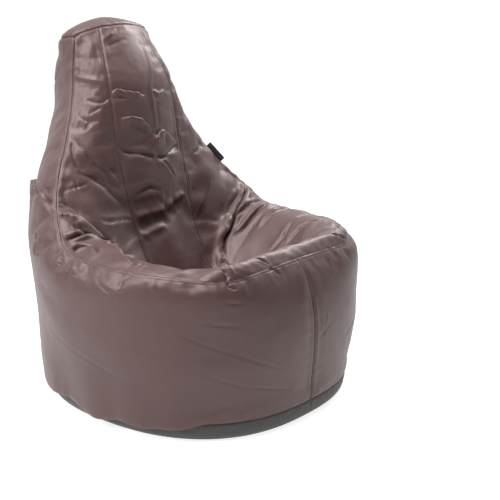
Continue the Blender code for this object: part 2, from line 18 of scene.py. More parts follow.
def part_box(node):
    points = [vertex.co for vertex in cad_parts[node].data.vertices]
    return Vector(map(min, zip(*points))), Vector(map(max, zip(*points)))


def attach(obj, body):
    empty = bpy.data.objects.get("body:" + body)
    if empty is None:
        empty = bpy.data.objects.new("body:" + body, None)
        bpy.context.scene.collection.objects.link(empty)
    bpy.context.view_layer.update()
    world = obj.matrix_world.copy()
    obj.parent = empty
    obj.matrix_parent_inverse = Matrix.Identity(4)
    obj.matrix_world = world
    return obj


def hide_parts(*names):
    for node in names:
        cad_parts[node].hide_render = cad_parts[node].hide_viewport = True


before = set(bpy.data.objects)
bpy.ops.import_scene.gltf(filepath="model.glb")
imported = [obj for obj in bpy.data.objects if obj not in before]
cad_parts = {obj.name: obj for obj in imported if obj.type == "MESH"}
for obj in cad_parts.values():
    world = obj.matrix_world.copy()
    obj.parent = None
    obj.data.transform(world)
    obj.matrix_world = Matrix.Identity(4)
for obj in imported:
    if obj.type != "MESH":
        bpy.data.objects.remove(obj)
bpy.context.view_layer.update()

# ---- shape, as in the frame
BASE_HALF_WIDTH = 0.345
BASE_FRONT_Y = -0.382
BASE_REAR_Y = 0.350
BASE_SEAM_Z = 0.045
# how far inside its seam the base turns under, and is flat on the floor
BASE_TURN_INSET, BASE_FLAT_INSET = -0.002, 0.028
BELLY_HALF_WIDTH = 0.389
BELLY_FRONT_Y = -0.392
BELLY_REAR_Y = 0.374
BELLY_REAR_SWELL = 0.042  # extra depth of the belly behind the back rest
BELLY_REAR_NARROWING = 0.030
FRONT_POWER = 2.5  # 2 is an ellipse, more is squarer
REAR_POWER = 2.3
RAISED_POWER_DROP = 0.3  # the belly is rounder where it is higher
CAP_CROWN = 0.031

# The upper edge of the outer wall, right round one half: the rim seam from the front middle to
# the back of the arm, the seam up the edge of the back rest, and the rear edge of the head cap.
# In millimetres.
RIM_SEAM = [
    (0, -336, 387), (78, -336, 386), (165, -334, 383), (237, -318, 380),
    (292, -268, 388), (335, -205, 394), (354, -120, 397), (359, -21, 400),
    (355, 60, 417),
]
BACK_SEAM = [
    (340, 94, 449), (308, 140, 498), (266, 177, 560), (208, 211, 645),
    (174, 233, 702), (150, 249, 755), (135, 259, 816), (127, 265, 870),
]
CAP_REAR_SEAM = [(124, 312, 866), (76, 350, 862), (0, 364, 860)]
UPPER_EDGE = np.array(RIM_SEAM + BACK_SEAM + CAP_REAR_SEAM) / 1000
PANEL_KEY, CORNER_KEY, CAP_KEY = 1, 3, 16  # where the centre panel, the front corner and the cap are

# Where each key column of the wall stands: its angle round the base and round the belly, in
# degrees from the front, and the belly's height.
WALL_COLUMNS = np.array([
    (0, 0, 0.20), (12, 12, 0.20), (26, 26, 0.20), (40, 40, 0.20), (54, 53, 0.21),
    (68, 67, 0.22), (82, 81, 0.24), (96, 96, 0.27), (106, 108, 0.30), (111, 114, 0.33),
    (117, 121, 0.36), (123, 128, 0.38), (132, 138, 0.41), (139, 145, 0.42), (146, 152, 0.43),
    (153, 158, 0.44), (160, 163, 0.45), (166, 168, 0.45), (172, 173, 0.45), (180, 180, 0.45),
])
BELLY_SHARE = 0.45  # share of the wall's grid below the belly
# How far the wall rolls out and down from its upper edge, and how much more it does so behind
ROLL_OUT, ROLL_OUT_BEHIND = 0.036, 0.029
ROLL_DOWN, ROLL_DOWN_BEHIND = 0.030, 0.050
ROLL_NARROW_Z, ROLL_NARROW_SPAN, ROLL_NARROWING = 0.60, 0.16, 0.40  # less of it near the head
ROLL_HANDLE = 0.4  # length of the curve's handle above the belly, as a share of the height

# Sections across the seat and the back rest: the key on UPPER_EDGE that each one starts from,
# two points on the inner side panel, one on the centre panel's seam and one in the middle, in mm.
SECTIONS = [
    (3, (185, -334, 382), (130, -336, 384), (78, -336, 386), (0, -336, 387)),
    (3.45, (212, -304, 403), (146, -307, 408), (81, -308, 409), (0, -308, 410)),
    (4, (232, -262, 400), (160, -268, 396), (83, -272, 386), (0, -274, 384)),
    (5, (270, -205, 401), (183, -213, 350), (90, -220, 300), (0, -222, 292)),
    (6, (292, -122, 404), (195, -130, 315), (96, -135, 242), (0, -137, 232)),
    (7, (295, -20, 411), (205, -25, 332), (100, -32, 250), (0, -36, 240)),
    (8, (285, 46, 421), (203, 38, 362), (102, 40, 305), (0, 33, 298)),
    (9, (278, 78, 437), (196, 72, 392), (104, 85, 395), (0, 77, 392)),
    (10, (256, 132, 492), (182, 120, 500), (108, 114, 507), (0, 106, 505)),
    (11.6, (210, 172, 607), (167, 149, 610), (109, 140, 611), (0, 128, 611)),
    (13.3, (158, 208, 724), (140, 177, 724), (106, 160, 724), (0, 144, 724)),
    (14.75, (136, 226, 800), (120, 200, 798), (95, 184, 797), (0, 170, 800)),
    (16, (110, 253, 882), (88, 245, 889), (65, 239, 894), (0, 233, 899)),
]
SECTION_STATIONS = np.array([0, 0.33, 0.66, 1, 2, 3])  # edge, two side points, seam, middle, far seam

# ---- fineness of the cloth
ACROSS_SIDE = 22
ACROSS_CENTRE = 10
ALONG = 100
UP_WALL = 60
CAP_STEPS = 12
BASE_SHARES = np.linspace(0, 1, 9)
MM = 0.001


def bell(x):
    return np.exp(-(x**2))


def spline(keys, stations, at):
    """A smooth curve through keys, which stand at the given stations, read at the values in at."""
    keys = np.asarray(keys, float)
    stations = np.asarray(stations, float)
    at = np.asarray(at, float)
    steps = np.diff(stations)
    extra = (1,) * (keys.ndim - 1)
    slopes = np.diff(keys, axis=0) / steps.reshape(-1, *extra)
    tangents = np.zeros_like(keys)
    weight = (steps[:-1] / (steps[:-1] + steps[1:])).reshape(-1, *extra)
    tangents[1:-1] = slopes[:-1] * (1 - weight) + slopes[1:] * weight
    tangents[0] = 1.5 * slopes[0] - 0.5 * tangents[1]
    tangents[-1] = 1.5 * slopes[-1] - 0.5 * tangents[-2]
    i = np.clip(np.searchsorted(stations, at, side="right") - 1, 0, len(steps) - 1)
    x = ((at - stations[i]) / steps[i]).reshape(-1, *extra)
    h = steps[i].reshape(-1, *extra)
    return (
        (2 * x**3 - 3 * x**2 + 1) * keys[i]
        + (x**3 - 2 * x**2 + x) * h * tangents[i]
        + (3 * x**2 - 2 * x**3) * keys[i + 1]
        + (x**3 - x**2) * h * tangents[i + 1]
    )


def along(points):
    """Each point's distance along the line through them."""
    return np.concatenate([[0], np.cumsum(norm(np.diff(points, axis=0), axis=1))])


EDGE_STATIONS = along(UPPER_EDGE)


def station(key):
    """The distance along the upper edge of a key, which may lie between two points."""
    return np.interp(key, np.arange(len(UPPER_EDGE)), EDGE_STATIONS)


def upper_edge(stations):
    return spline(UPPER_EDGE, EDGE_STATIONS, stations)


def oval(half_width, front, rear, height, degrees, power):
    """A point of a squarish oval, at an angle from its front."""
    angle = math.radians(degrees)
    sine = abs(math.sin(angle)) ** (2 / power)
    cosine = math.copysign(abs(math.cos(angle)) ** (2 / power), math.cos(angle))
    return np.array([half_width * sine, (front + rear) / 2 - (rear - front) / 2 * cosine, height])


def oval_power(degrees):
    """The ovals are squarer in front than behind."""
    return REAR_POWER + (FRONT_POWER - REAR_POWER) * (1 + math.cos(math.radians(degrees))) / 2


def base_oval(degrees, inset, height):
    return oval(BASE_HALF_WIDTH - inset, BASE_FRONT_Y + inset, BASE_REAR_Y - inset, height, degrees,
                oval_power(degrees))


def bezier(a, b, c, d, s):
    return (1 - s) ** 3 * a + 3 * s * (1 - s) ** 2 * b + 3 * s * s * (1 - s) * c + s**3 * d


def wall_column(at, shares):
    """One column of the outer wall, from the base seam to the upper edge."""
    base_deg, belly_deg, belly_z = spline(WALL_COLUMNS, EDGE_STATIONS, [at])[0]
    top = upper_edge([at])[0]
    foot = base_oval(base_deg, 0, BASE_SEAM_Z)
    raised = min(max((belly_z - 0.2) / 0.25, 0), 1)
    belly = oval(
        BELLY_HALF_WIDTH - BELLY_REAR_NARROWING * raised, BELLY_FRONT_Y,
        BELLY_REAR_Y + BELLY_REAR_SWELL * raised**0.8, belly_z, belly_deg,
        oval_power(belly_deg) - RAISED_POWER_DROP * raised,
    )
    behind = min(max((belly_deg - 90) / 90, 0), 1)
    lean = (belly - foot) / norm(belly - foot)
    upright = np.array([0, 0, 1])
    rise = upright * (1 - behind) + lean * behind
    rise = rise / norm(rise)
    outward = oval(1, -1, 1, 0, belly_deg, 2)
    low = norm(belly - foot) / 3
    high = norm(top - belly) * ROLL_HANDLE
    narrow = 1 - ROLL_NARROWING * min(max((top[2] - ROLL_NARROW_Z) / ROLL_NARROW_SPAN, 0), 1)
    out = (ROLL_OUT + ROLL_OUT_BEHIND * behind) * narrow
    roll = top + outward * out - upright * (ROLL_DOWN + ROLL_DOWN_BEHIND * behind)
    points = []
    for share in shares:
        if share <= BELLY_SHARE:
            s = share / BELLY_SHARE
            points.append(bezier(foot, foot + rise * low, belly - rise * low, belly, s))
        else:
            s = (share - BELLY_SHARE) / (1 - BELLY_SHARE)
            points.append(bezier(belly, belly + rise * high, roll, top, s))
    return points


def base_column(at, shares):
    """One column of the base, from its seam round to the flat area."""
    degrees = spline(WALL_COLUMNS, EDGE_STATIONS, [at])[0, 0]
    seam = base_oval(degrees, 0, BASE_SEAM_Z)
    turn = base_oval(degrees, BASE_TURN_INSET, 0)
    flat = base_oval(degrees, BASE_FLAT_INSET, 0)
    return [(1 - s) ** 2 * seam + 2 * s * (1 - s) * turn + s * s * flat for s in shares]


SECTION_EDGES = np.array([station(section[0]) for section in SECTIONS])
SECTION_POINTS = np.array([section[1:] for section in SECTIONS]) / 1000


def section(at, stations):
    """Points across the seat or back rest, from the upper edge to the middle."""
    inside = spline(SECTION_POINTS, SECTION_EDGES, [at])[0]
    mirrored = inside[2] * [-1, 1, 1]
    return spline(np.vstack([upper_edge([at]), inside, mirrored]), SECTION_STATIONS, stations)


def half_skin():
    """The half at +X: named grids of points, each as rows of columns."""
    shares = np.linspace(0, 1, UP_WALL + 1)
    side = np.linspace(0, 1, ACROSS_SIDE + 1)
    centre = np.linspace(1, 2, ACROSS_CENTRE + 1)
    across = np.concatenate([side, centre[1:]])
    corner, panel, cap = station(CORNER_KEY), station(PANEL_KEY), station(CAP_KEY)
    front = np.concatenate([
        np.linspace(0, panel, ACROSS_CENTRE + 1),
        np.linspace(panel, corner, ACROSS_SIDE + 1)[1:],
    ])
    arm = station(np.linspace(CORNER_KEY, CAP_KEY, ALONG + 1))
    rear = np.linspace(cap, EDGE_STATIONS[-1], len(across))
    columns = np.concatenate([front, arm[1:], rear[1:]])
    wall = np.array([wall_column(at, shares) for at in columns])
    base = np.array([base_column(at, BASE_SHARES) for at in columns])
    inner = np.array([section(at, across) for at in arm])
    inner[0] = upper_edge(front[::-1])
    share = np.linspace(0, 1, CAP_STEPS + 1)[:, None, None]
    rear_edge = upper_edge(rear)
    crown = np.sin(np.pi * share) ** 0.8 * np.sin(np.pi / 2 * across / 2)[None, :, None] ** 0.7
    head = inner[-1] * (1 - share) + rear_edge * share + crown * [0, 0, CAP_CROWN]
    return {
        "wall": wall, "base": base, "head": head,
        "side": inner[:, : ACROSS_SIDE + 1], "centre": inner[:, ACROSS_SIDE:],
    }


class Skin:
    """The whole closed surface as grids of shared points."""

    def __init__(self):
        self.points = []
        self.index = {}
        self.grids = {}
        self.faces = []
        for region, grid in half_skin().items():
            for side, sign in (("left", 1), ("right", -1)):
                ids = np.array([[self.point(p) for p in row] for row in grid * [sign, 1, 1]])
                self.grids[f"{region}_{side}"] = ids
                flip = (sign > 0) != (region != "base")
                for face in quads(ids):
                    loop = list(dict.fromkeys(face))
                    if len(loop) > 2:
                        self.faces.append(loop[::-1] if flip else loop)
        self.points = np.array(self.points)

    def point(self, place):
        key = tuple(int(round(v * 1e6)) for v in place)
        if key not in self.index:
            self.index[key] = len(self.points)
            self.points.append(np.array(place, float))
        return self.index[key]


def quads(ids):
    return np.stack([ids[:-1, :-1], ids[1:, :-1], ids[1:, 1:], ids[:-1, 1:]], -1).reshape(-1, 4).tolist()


def vertex_normals(points, faces):
    triangles = np.array([(f[0], f[i], f[i + 1]) for f in faces for i in range(1, len(f) - 1)])
    a, b, c = points[triangles[:, 0]], points[triangles[:, 1]], points[triangles[:, 2]]
    area = np.cross(b - a, c - a)
    normals = np.zeros_like(points)
    for corner in range(3):
        np.add.at(normals, triangles[:, corner], area)
    return normals / np.maximum(norm(normals, axis=1), 1e-12)[:, None]


# ---- materials
LEATHER_COLOUR = (0.068, 0.037, 0.036)
THREAD_COLOUR = (0.090, 0.060, 0.058)


def node(tree, kind, **values):
    """A shader node. Each value is a setting, an input's value, or an output that links to it."""
    made = tree.nodes.new("ShaderNode" + kind)
    for name, value in values.items():
        if hasattr(made, name):
            setattr(made, name, value)
        elif isinstance(value, bpy.types.NodeSocket):
            tree.links.new(value, made.inputs[name.replace("_", " ")])
        else:
            made.inputs[name.replace("_", " ")].default_value = value
    return made


def new_material(name, colour, roughness, metallic=0.0):
    """A material, its node tree, its shader, and the place on the object as an output."""
    made = bpy.data.materials.new(name)
    made.use_nodes = True
    shader = made.node_tree.nodes["Principled BSDF"]
    shader.inputs["Base Color"].default_value = (*colour, 1)
    shader.inputs["Roughness"].default_value = roughness
    shader.inputs["Metallic"].default_value = metallic
    return made, made.node_tree, shader, node(made.node_tree, "TexCoord").outputs["Object"]


def ranged(tree, value, low, high):
    """A value from 0 to 1, spread from low to high."""
    return node(tree, "MapRange", To_Min=low, To_Max=high, Value=value).outputs["Result"]


def tinted(tree, value, colour, dark, light):
    """A colour from a darker to a lighter shade of itself."""
    low, high = ((*[min(c * k, 1) for c in colour], 1) for k in (dark, light))
    return node(tree, "Mix", data_type="RGBA", A=low, B=high, Factor=value).outputs["Result"]


def bump(tree, height, strength, distance, **more):
    made = node(tree, "Bump", Strength=strength, Distance=distance, Height=height, **more)
    return made.outputs["Normal"]


def leather(name, colour):
    """Faux leather: pebbled grain, a little mottling in colour, and an uneven satin gloss."""
    made, tree, shader, place = new_material(name, colour, 0.42)
    cloud = node(tree, "TexNoise", Scale=9.0, Detail=3.0, Roughness=0.55, Vector=place)
    patch = node(tree, "TexNoise", Scale=26.0, Detail=4.0, Roughness=0.6, Vector=place)
    fine = node(tree, "TexNoise", Scale=240.0, Detail=3.0, Roughness=0.6, Vector=place)
    pebble = node(tree, "TexVoronoi", feature="SMOOTH_F1", Scale=620.0, Smoothness=0.6, Vector=place)
    soft = bump(tree, fine.outputs["Fac"], 0.20, 0.0008)
    grain = bump(tree, pebble.outputs["Distance"], 0.30, 0.0004, invert=True, Normal=soft)
    tree.links.new(tinted(tree, cloud.outputs["Fac"], colour, 0.90, 1.12), shader.inputs["Base Color"])
    tree.links.new(ranged(tree, patch.outputs["Fac"], 0.38, 0.52), shader.inputs["Roughness"])
    tree.links.new(grain, shader.inputs["Normal"])
    shader.inputs["Specular IOR Level"].default_value = 0.55
    shader.inputs["Specular Tint"].default_value = (1.0, 0.84, 0.83, 1)
    return made


def woven(name, colour, scale, roughness=0.85):
    """Plain woven cloth: two crossed sets of threads in the bump and the colour."""
    made, tree, shader, place = new_material(name, colour, roughness)
    cross = node(tree, "Math", operation="MULTIPLY")
    for i, direction in enumerate("XY"):
        wave = node(tree, "TexWave", bands_direction=direction, Scale=scale / 3, Distortion=0.6,
                    Vector=place)
        tree.links.new(wave.outputs["Fac"], cross.inputs[i])
    threads = cross.outputs["Value"]
    tree.links.new(tinted(tree, threads, colour, 0.78, 1.18), shader.inputs["Base Color"])
    tree.links.new(bump(tree, threads, 0.35, 0.0003), shader.inputs["Normal"])
    shader.inputs["Sheen Weight"].default_value = 0.15
    return made


def metal(name, colour):
    """Worn metal: its gloss is scuffed unevenly."""
    made, tree, shader, place = new_material(name, colour, 0.32, 1.0)
    scuff = node(tree, "TexNoise", Scale=900.0, Detail=4.0, Vector=place)
    tree.links.new(ranged(tree, scuff.outputs["Fac"], 0.24, 0.46), shader.inputs["Roughness"])
    return made


def bead_foam(name, colour):
    """Foam beads pressed together: round cells, each painted darker towards its edge, a painted shade
    where the beads meet.
    """
    made, tree, shader, place = new_material(name, colour, 0.75)
    cells = node(tree, "TexVoronoi", Scale=260.0, Vector=place).outputs["Distance"]
    # painted shade: the colour is lighter in each cell's middle and darker at its edge, where the beads
    # meet
    tree.links.new(ranged(tree, cells, 0.9, 0.5), shader.inputs["Base Color"])
    tree.links.new(bump(tree, cells, 0.8, 0.0015, invert=True), shader.inputs["Normal"])
    return made


# ---- the cloth simulation
ZIP_LOW_Z, ZIP_HIGH_Z = 0.085, 0.435  # the cover's zip, in the rear centre seam
CLOTH_FRAMES = 20
GROWTH = 0.085  # the most that the cloth may be larger than the shape it covers
MOST_MOVE = 0.020
SMOOTHINGS = 2  # passes that take the finest ripples out of the simulated cloth

# Where the cover is slack: place, reach and how slack, on both sides of the chair
SLACK_PLACES = [
    ((0.31, 0.09, 0.44), 0.10, 0.55),  # behind the arms
    ((0.25, 0.03, 0.42), 0.10, 0.35),
    ((0.05, 0.15, 0.66), 0.13, 0.10),  # the back rest
    ((0.17, 0.12, 0.52), 0.12, 0.20),
    ((0.00, 0.05, 0.36), 0.12, 0.22),
    ((0.26, -0.28, 0.39), 0.07, 0.35),  # the front corners
]


def seam_lines(skin):
    """The numbers of the points on every seam."""
    found = set()
    for side in ("left", "right"):
        for region in ("wall", "side"):
            grid = skin.grids[f"{region}_{side}"]
            for line in (grid[0], grid[-1], grid[:, 0], grid[:, -1]):
                found.update(line.tolist())
        centre = skin.grids[f"centre_{side}"]
        found.update(centre[0].tolist() + centre[-1].tolist())
    return sorted(found)


def distance_to(points, chosen):
    tree = KDTree(len(chosen))
    for i, at in enumerate(chosen):
        tree.insert(points[at], i)
    tree.balance()
    return np.array([tree.find(p)[2] for p in points])


def zip_nearness(points):
    """1 along the cover's zip, and 0 away from it."""
    beside = np.clip((0.050 - np.abs(points[:, 0])) / 0.030, 0, 1)
    beyond = np.maximum(ZIP_LOW_Z - points[:, 2], points[:, 2] - ZIP_HIGH_Z)
    within = np.clip((0.040 - beyond) / 0.030, 0, 1)
    return beside * within * (points[:, 1] > 0.3)


def placed(name, data):
    """A new object in the scene."""
    obj = bpy.data.objects.new(name, data)
    bpy.context.scene.collection.objects.link(obj)
    return obj


def mesh_of(name, points, faces):
    mesh = bpy.data.meshes.new(name)
    mesh.from_pydata(np.asarray(points).tolist(), [], faces)
    return mesh


def paint(obj, name, weights):
    group = obj.vertex_groups.new(name=name)
    for i, weight in enumerate(weights):
        group.add([i], float(weight), "REPLACE")


def simulated(skin):
    """The skin's points once its cloth, a little too large, has buckled over the filling."""
    points = skin.points
    seams = seam_lines(skin)
    away = distance_to(points, seams)
    base = np.zeros(len(points), bool)
    for side in ("left", "right"):
        base[skin.grids[f"base_{side}"].ravel()] = True
    calm = zip_nearness(points)
    cloud = np.array([noise.noise(Vector(p) * 6 + Vector((3, 7, 1))) for p in points]) + 0.5
    slack = 0.05 + 0.07 * np.clip(cloud, 0, 1)
    slack = slack + 0.20 * bell((away - 0.018) / 0.016) * (0.4 + 0.6 * np.clip(cloud, 0, 1))
    for (x, y, z), reach, more in SLACK_PLACES:
        for sign in (1, -1):
            far = norm(points - [sign * x, y, z], axis=1)
            slack = slack + more * bell(far / reach)
    slack = np.clip(slack, 0, 1) * (1 - bell(away / 0.007)) * (1 - calm) * ~base

    obj = placed("cloth_cage", mesh_of("cloth_cage", points, skin.faces))
    hold = 0.10 + 0.80 * bell(away / 0.006)
    paint(obj, "hold", np.maximum(np.maximum(hold, calm), base))
    paint(obj, "tight", 1 - slack)
    cloth = obj.modifiers.new("cloth", "CLOTH")
    cloth.collision_settings.use_collision = False
    cloth.point_cache.frame_start, cloth.point_cache.frame_end = 1, CLOTH_FRAMES
    settings = dict(
        quality=5, mass=0.3, tension_stiffness=15, compression_stiffness=15, shear_stiffness=5,
        bending_stiffness=0.5, vertex_group_mass="hold", pin_stiffness=1.0, use_pressure=True,
        uniform_pressure_force=4.0, shrink_min=-GROWTH, shrink_max=0.0, vertex_group_shrink="tight",
    )
    for name, value in settings.items():
        setattr(cloth.settings, name, value)
    cloth.settings.effector_weights.gravity = 0
    for frame_number in range(1, CLOTH_FRAMES + 1):
        bpy.context.scene.frame_set(frame_number)
    done = obj.evaluated_get(bpy.context.evaluated_depsgraph_get()).data
    moved = np.zeros(len(points) * 3)
    done.vertices.foreach_get("co", moved)
    moved = moved.reshape(-1, 3) - points
    bpy.data.objects.remove(obj)
    links = np.array([(face[i], face[i - 1]) for face in skin.faces for i in range(len(face))])
    count = np.bincount(links.ravel(), minlength=len(points))[:, None]
    for _ in range(SMOOTHINGS):
        total = np.zeros_like(moved)
        np.add.at(total, links[:, 0], moved[links[:, 1]])
        np.add.at(total, links[:, 1], moved[links[:, 0]])
        moved = moved * 0.5 + total / count * 0.5
    length = norm(moved, axis=1)[:, None]
    return points + moved * MOST_MOVE / (MOST_MOVE + length) * 1.25


SAG_FROM, SAG_FULL, SAG_TO, SAG_END = 36, 62, 150, 172  # degrees round the base, from the front
SAG_OUT, SAG_DOWN = 0.014, 0.036
# line up the wall from the base seam, and the shares of SAG_OUT and of SAG_DOWN there
SAG_SHAPE = [(0, 0, 0), (1, 0.40, 0.45), (2, 0.75, 0.85), (3, 0.94, 1.0), (4, 1.0, 0.96), (6, 0.97, 0.75),
             (8, 0.85, 0.52), (11, 0.60, 0.28), (15, 0.30, 0.10), (20, 0.08, 0), (24, 0, 0)]


def sagged(skin, points):
    """The skin with the lower edge of its wall hanging over the base at the sides."""
    points = points.copy()
    lines, out_shares, down_shares = np.array(SAG_SHAPE).T
    for side, seed in (("left", 5.0), ("right", 0.0)):
        grid = skin.grids[f"wall_{side}"]
        foot = skin.points[grid[:, 0]]
        centre = (BASE_FRONT_Y + BASE_REAR_Y) / 2
        degrees = np.degrees(np.arctan2(np.abs(foot[:, 0]), -(foot[:, 1] - centre)))
        weight = np.interp(degrees, [SAG_FROM, SAG_FULL, SAG_TO, SAG_END], [0, 1, 1, 0])
        weight = weight * weight * (3 - 2 * weight)
        weight = weight * [0.85 + 0.5 * noise.noise(Vector((d / 16, seed, 1))) for d in degrees]
        outward = foot - [0, centre, 0]
        outward[:, 2] = 0
        outward = outward / norm(outward, axis=1)[:, None]
        for line in range(int(lines[-1])):
            out = np.interp(line, lines, out_shares) * SAG_OUT * weight
            down = np.interp(line, lines, down_shares) * SAG_DOWN * weight
            points[grid[:, line]] += outward * out[:, None] - np.outer(down, [0, 0, 1])
    return points


# ---- reading the cloth finely
def read_lines(grid, at, axis):
    """A grid of points read at fractional places along one axis, with smooth curves."""
    grid = np.moveaxis(grid, axis, 0)
    padded = np.concatenate([2 * grid[:1] - grid[1:2], grid, 2 * grid[-1:] - grid[-2:-1]])
    i = np.clip(np.floor(at).astype(int), 0, len(grid) - 2)
    t = (at - i)[:, None, None]
    a, b, c, d = (padded[i + k] for k in range(4))
    made = b + 0.5 * t * (c - a + t * (2 * a - 5 * b + 4 * c - d + t * (3 * (b - c) + d - a)))
    return np.moveaxis(made, 0, axis)


def read_both(grid, rows, cols):
    return read_lines(read_lines(grid, rows, 0), cols, 1)


# where the cloth is read beside a seam: distances from it
EDGE_LINES = np.array([0, 1.0, 2.2, 3.6, 5.2, 6.2, 7.0, 7.8, 9.0, 11.5]) * MM


def fine_lines(grid, axis, parts, edges):
    """Where to read a grid along an axis: each step in parts, and closer lines beside a seam."""
    steps = norm(np.diff(grid, axis=axis), axis=2)
    count = steps.shape[axis]
    near = EDGE_LINES / np.take(steps, range(0, 3), axis).mean()
    far = EDGE_LINES / np.take(steps, range(count - 3, count), axis).mean()
    low = near if edges[0] else np.zeros(1)
    high = count - far[::-1] if edges[1] else np.array([float(count)])
    inner = np.linspace(low[-1], high[0], max(int((high[0] - low[-1]) * parts), 2) + 1)
    return np.concatenate([low, inner[1:-1], high])


def grid_of(values, skin, *regions):
    """One grid of a panel's values, from its region or from its left and right halves."""
    halves = [values[skin.grids[region]] for region in regions]
    if len(halves) == 1:
        return halves[0]
    return np.concatenate([halves[0], halves[1][:, -2::-1]], axis=1)


# ---- folds
# Each fold: its kind, its height and half width in millimetres, and its points as line along,line
# across, counted on the grid of the region named above it. A groove is a sharp crease between two
# soft lips, a ridge is the opposite, and a lap is a fold that falls over to one side.
FOLDS = [
    # the near shoulder: two laps that run from behind into the seam
    "wall_right:",
    "lap 6.4 13 105,35 98,40 93,46 88,53 86,59",
    "lap 5.6 12 112,33 102,39 96,46 90,55 89,59",
    "groove 4.8 7 99,41 91,52 87,58",
    # the near arm: the back rest's side falls over the arm's inner wall
    "side_right:",
    "lap 11 9 54,0.5 52.5,4.5 49,7.5 46.5,10.5 43,12 34,9.5 27,6.5 22,2.5",
    "lap -7 6 51,1 50.5,4 48.5,5.5 47,6.5",
    "groove 13 6 42,1 42.5,5 44,8 41,11 33,8",
    "groove 12 5.5 37,1 37.5,3 36,5 31,4",
    # the roll over the near rim
    "groove 6 5 21,5 20.5,1.5",
    "wall_right:",
    "groove 3.6 5 52,59.5 52.5,57.5 53.5,52.5 52,46",
    "ridge 2.4 6 47.5,59.5 47,55 46,51",
    "groove 3 5 69.5,57 67.5,48",
    "groove 3 5 66.5,57 63,44",
    "groove 2.4 5 65,57 61,46",
    "groove 3 5 59,58 57.5,50 54,46",
    # the near side of the back rest
    "side_right:",
    "ridge 2.5 8 88,0.5 87.5,6 87,12 86.5,19",
    "groove 2.9 6 75,5 73.5,9 72.5,11.5",
    "groove 2.9 5 72.5,11.5 70,9",
    "lap 4.3 8 69,1 67.5,5 66,8.5 63,12 60,15",
    "groove 3.6 6 68,4 65,6 62,10.5",
    "groove 2.9 5 69,17.5 67,21",
    "groove 3.6 6 79.5,10 78.5,17.5 80,21.5",
    "groove 2.9 5 75,11 77,17.5",
    "groove 2.9 5 57.5,3 58,8 57.5,11",
    "groove 2.2 4 60,7 58,8 56,8.5",
    "groove 6.5 13 62,8 60.5,10.5 57,14 54,17 51.5,19.5",
    "groove 4 5 50,12 49.5,17.5 48.5,21.5",
    "ridge 2.9 7 64,14 58,18 54,20.5",
    # the centre panel
    "centre_right:",
    "lap 5 7 81,0.5 82,2 81,4 79.5,6.5 79,9",
    "groove 3.6 6 79.5,0.5 79.5,3 78,5",
    "lap 5.8 8 72.5,1.5 72,4.5 70.5,7 68,9.5",
    "centre_left:",
    "lap 5.8 8 68,9.8 66,9 67.5,6 66.5,4 65,1.5",
    "centre_right:",
    "groove 6.5 8 66,0.3 64.5,1.5 63,5 61.5,9.5",
    "centre_left:",
    "groove 5 8 61.5,9.8 60.5,8 62,4 64,0.5",
    "groove 2.9 5 59.5,8 57,6 54,3.5",
    "ridge 2.2 6 97,4 90,6 83,8.5 77.5,8.8 67,8.6",
    "centre_right:",
    "ridge 2.9 6 97,0.5 98,4 99,7",
    "groove 2.2 6 95.5,1 96,5 96.5,9.5",
    "centre_left:",
    "ridge 2.9 6 81,8.2 79.5,6 80.5,3.5",
    "centre_right:",
    "ridge 7 14 48.5,0.5 49,7 49.5,10",
    "centre_left:",
    "ridge 7 14 49.5,9.8 50,5 50.5,0.5",
    "centre_right:",
    "ridge 5 10 45.5,0.5 46,3 46.5,9",
    "groove 5 8 52,1 53,5 52.5,9.5",
    # the far side of the back rest and the far arm
    "side_left:",
    "lap 7.2 13 66,4 60.5,8 55,12.5 52,16 49,19.5 46,21.5",
    "groove 14 8 47,0.7 44.5,4.5 42,9 40.5,13 38,17 35,19.5 30,20",
    "lap 8 7 43,12 40.5,15 37.5,18.2 33,20",
    "groove 8 6 37,1 36.5,5 37,9 40,13",
    "groove 8 6 32.5,3 32.5,8 34,12 36.5,16",
    "groove 6 6 21,3.5 23,8 23.5,12 25,15",
    "groove 6 6 16,4 17.5,7 20,10 21.5,13",
    "ridge 5 7 28,2 29,7 30,12",
    "groove 5 5 3.5,12 2,8 1,4",
    "groove 4 4 5.5,8 3.5,5 2,2",
    # the front roll
    "wall_right:",
    "groove 3 5 13,59.5 12,58.5 9.5,54",
    "side_right:",
    "groove 4 4 4,17 2,18.5 0.5,19.5",
    "groove 10 6 6,7 3,5.5 0.5,1.5",
    "wall_right:",
    "groove 5.4 6 30.5,59.5 30.5,58 28,54.5",
    "side_right:",
    "ridge 5 7 7,10 4,8 1,5",
    # the skirt: long shallow creases near the front, and short ones from the front seam
    "wall_right:",
    "groove 1.3 5 41,37 38.5,35.5 32,32.5 25,29 17,24 10,19",
    "groove 1.4 5 31,20 29,19 22,15 14,12 7.5,9.5",
    "groove 1.1 6 37,41.5 31.5,40.5 24.5,39",
    "groove 1.1 6 31.5,49.5 25.5,47.5",
    "groove 1 6 35,23.5 28,18",
    "wall_left:",
    "groove 1.2 5 0.5,27 2.5,28.5 5,31",
    "groove 1.2 5 3.5,36 2.5,30 1.5,25",
    "wall_right:",
    "groove 1 8 70,18 61,17.5 52,15",
    # the far shoulder, and the back: soft creases where it bends above the belly
    "wall_left:",
    "lap 6 13 107,36 99,41 93,47 88,54 86,59",
    "lap 5 12 113,32 103,37 96,44 91,53 90,59",
    "groove 4 7 101,44 93,52 88,58",
    "groove 2.6 6 60,59 59,52 56,45",
    "groove 2.6 6 72,59 69,51 68,45",
    "ridge 2.6 7 46,59 45.5,53 46,48",
    "groove 3 10 116,33 128,37 140,36 151,32",
    "groove 2.4 9 124,29 136,31 146,29",
    "wall_right:",
    "groove 3 10 120,31 131,35 143,35 152,33",
    "ridge 2.4 10 118,38 130,41 141,41",
    "groove 2 8 132,50 140,48 148,49",
    "wall_left:",
    "groove 2 8 134,47 143,50 150,49",
    "groove 1.6 9 30,30 22,25 12,22",
    "groove 1.6 9 70,22 60,19 48,19",
    "groove 1.4 9 104,16 96,19 88,17",
    "wall_right:",
    "groove 1.4 9 108,17 99,20 90,19",
]


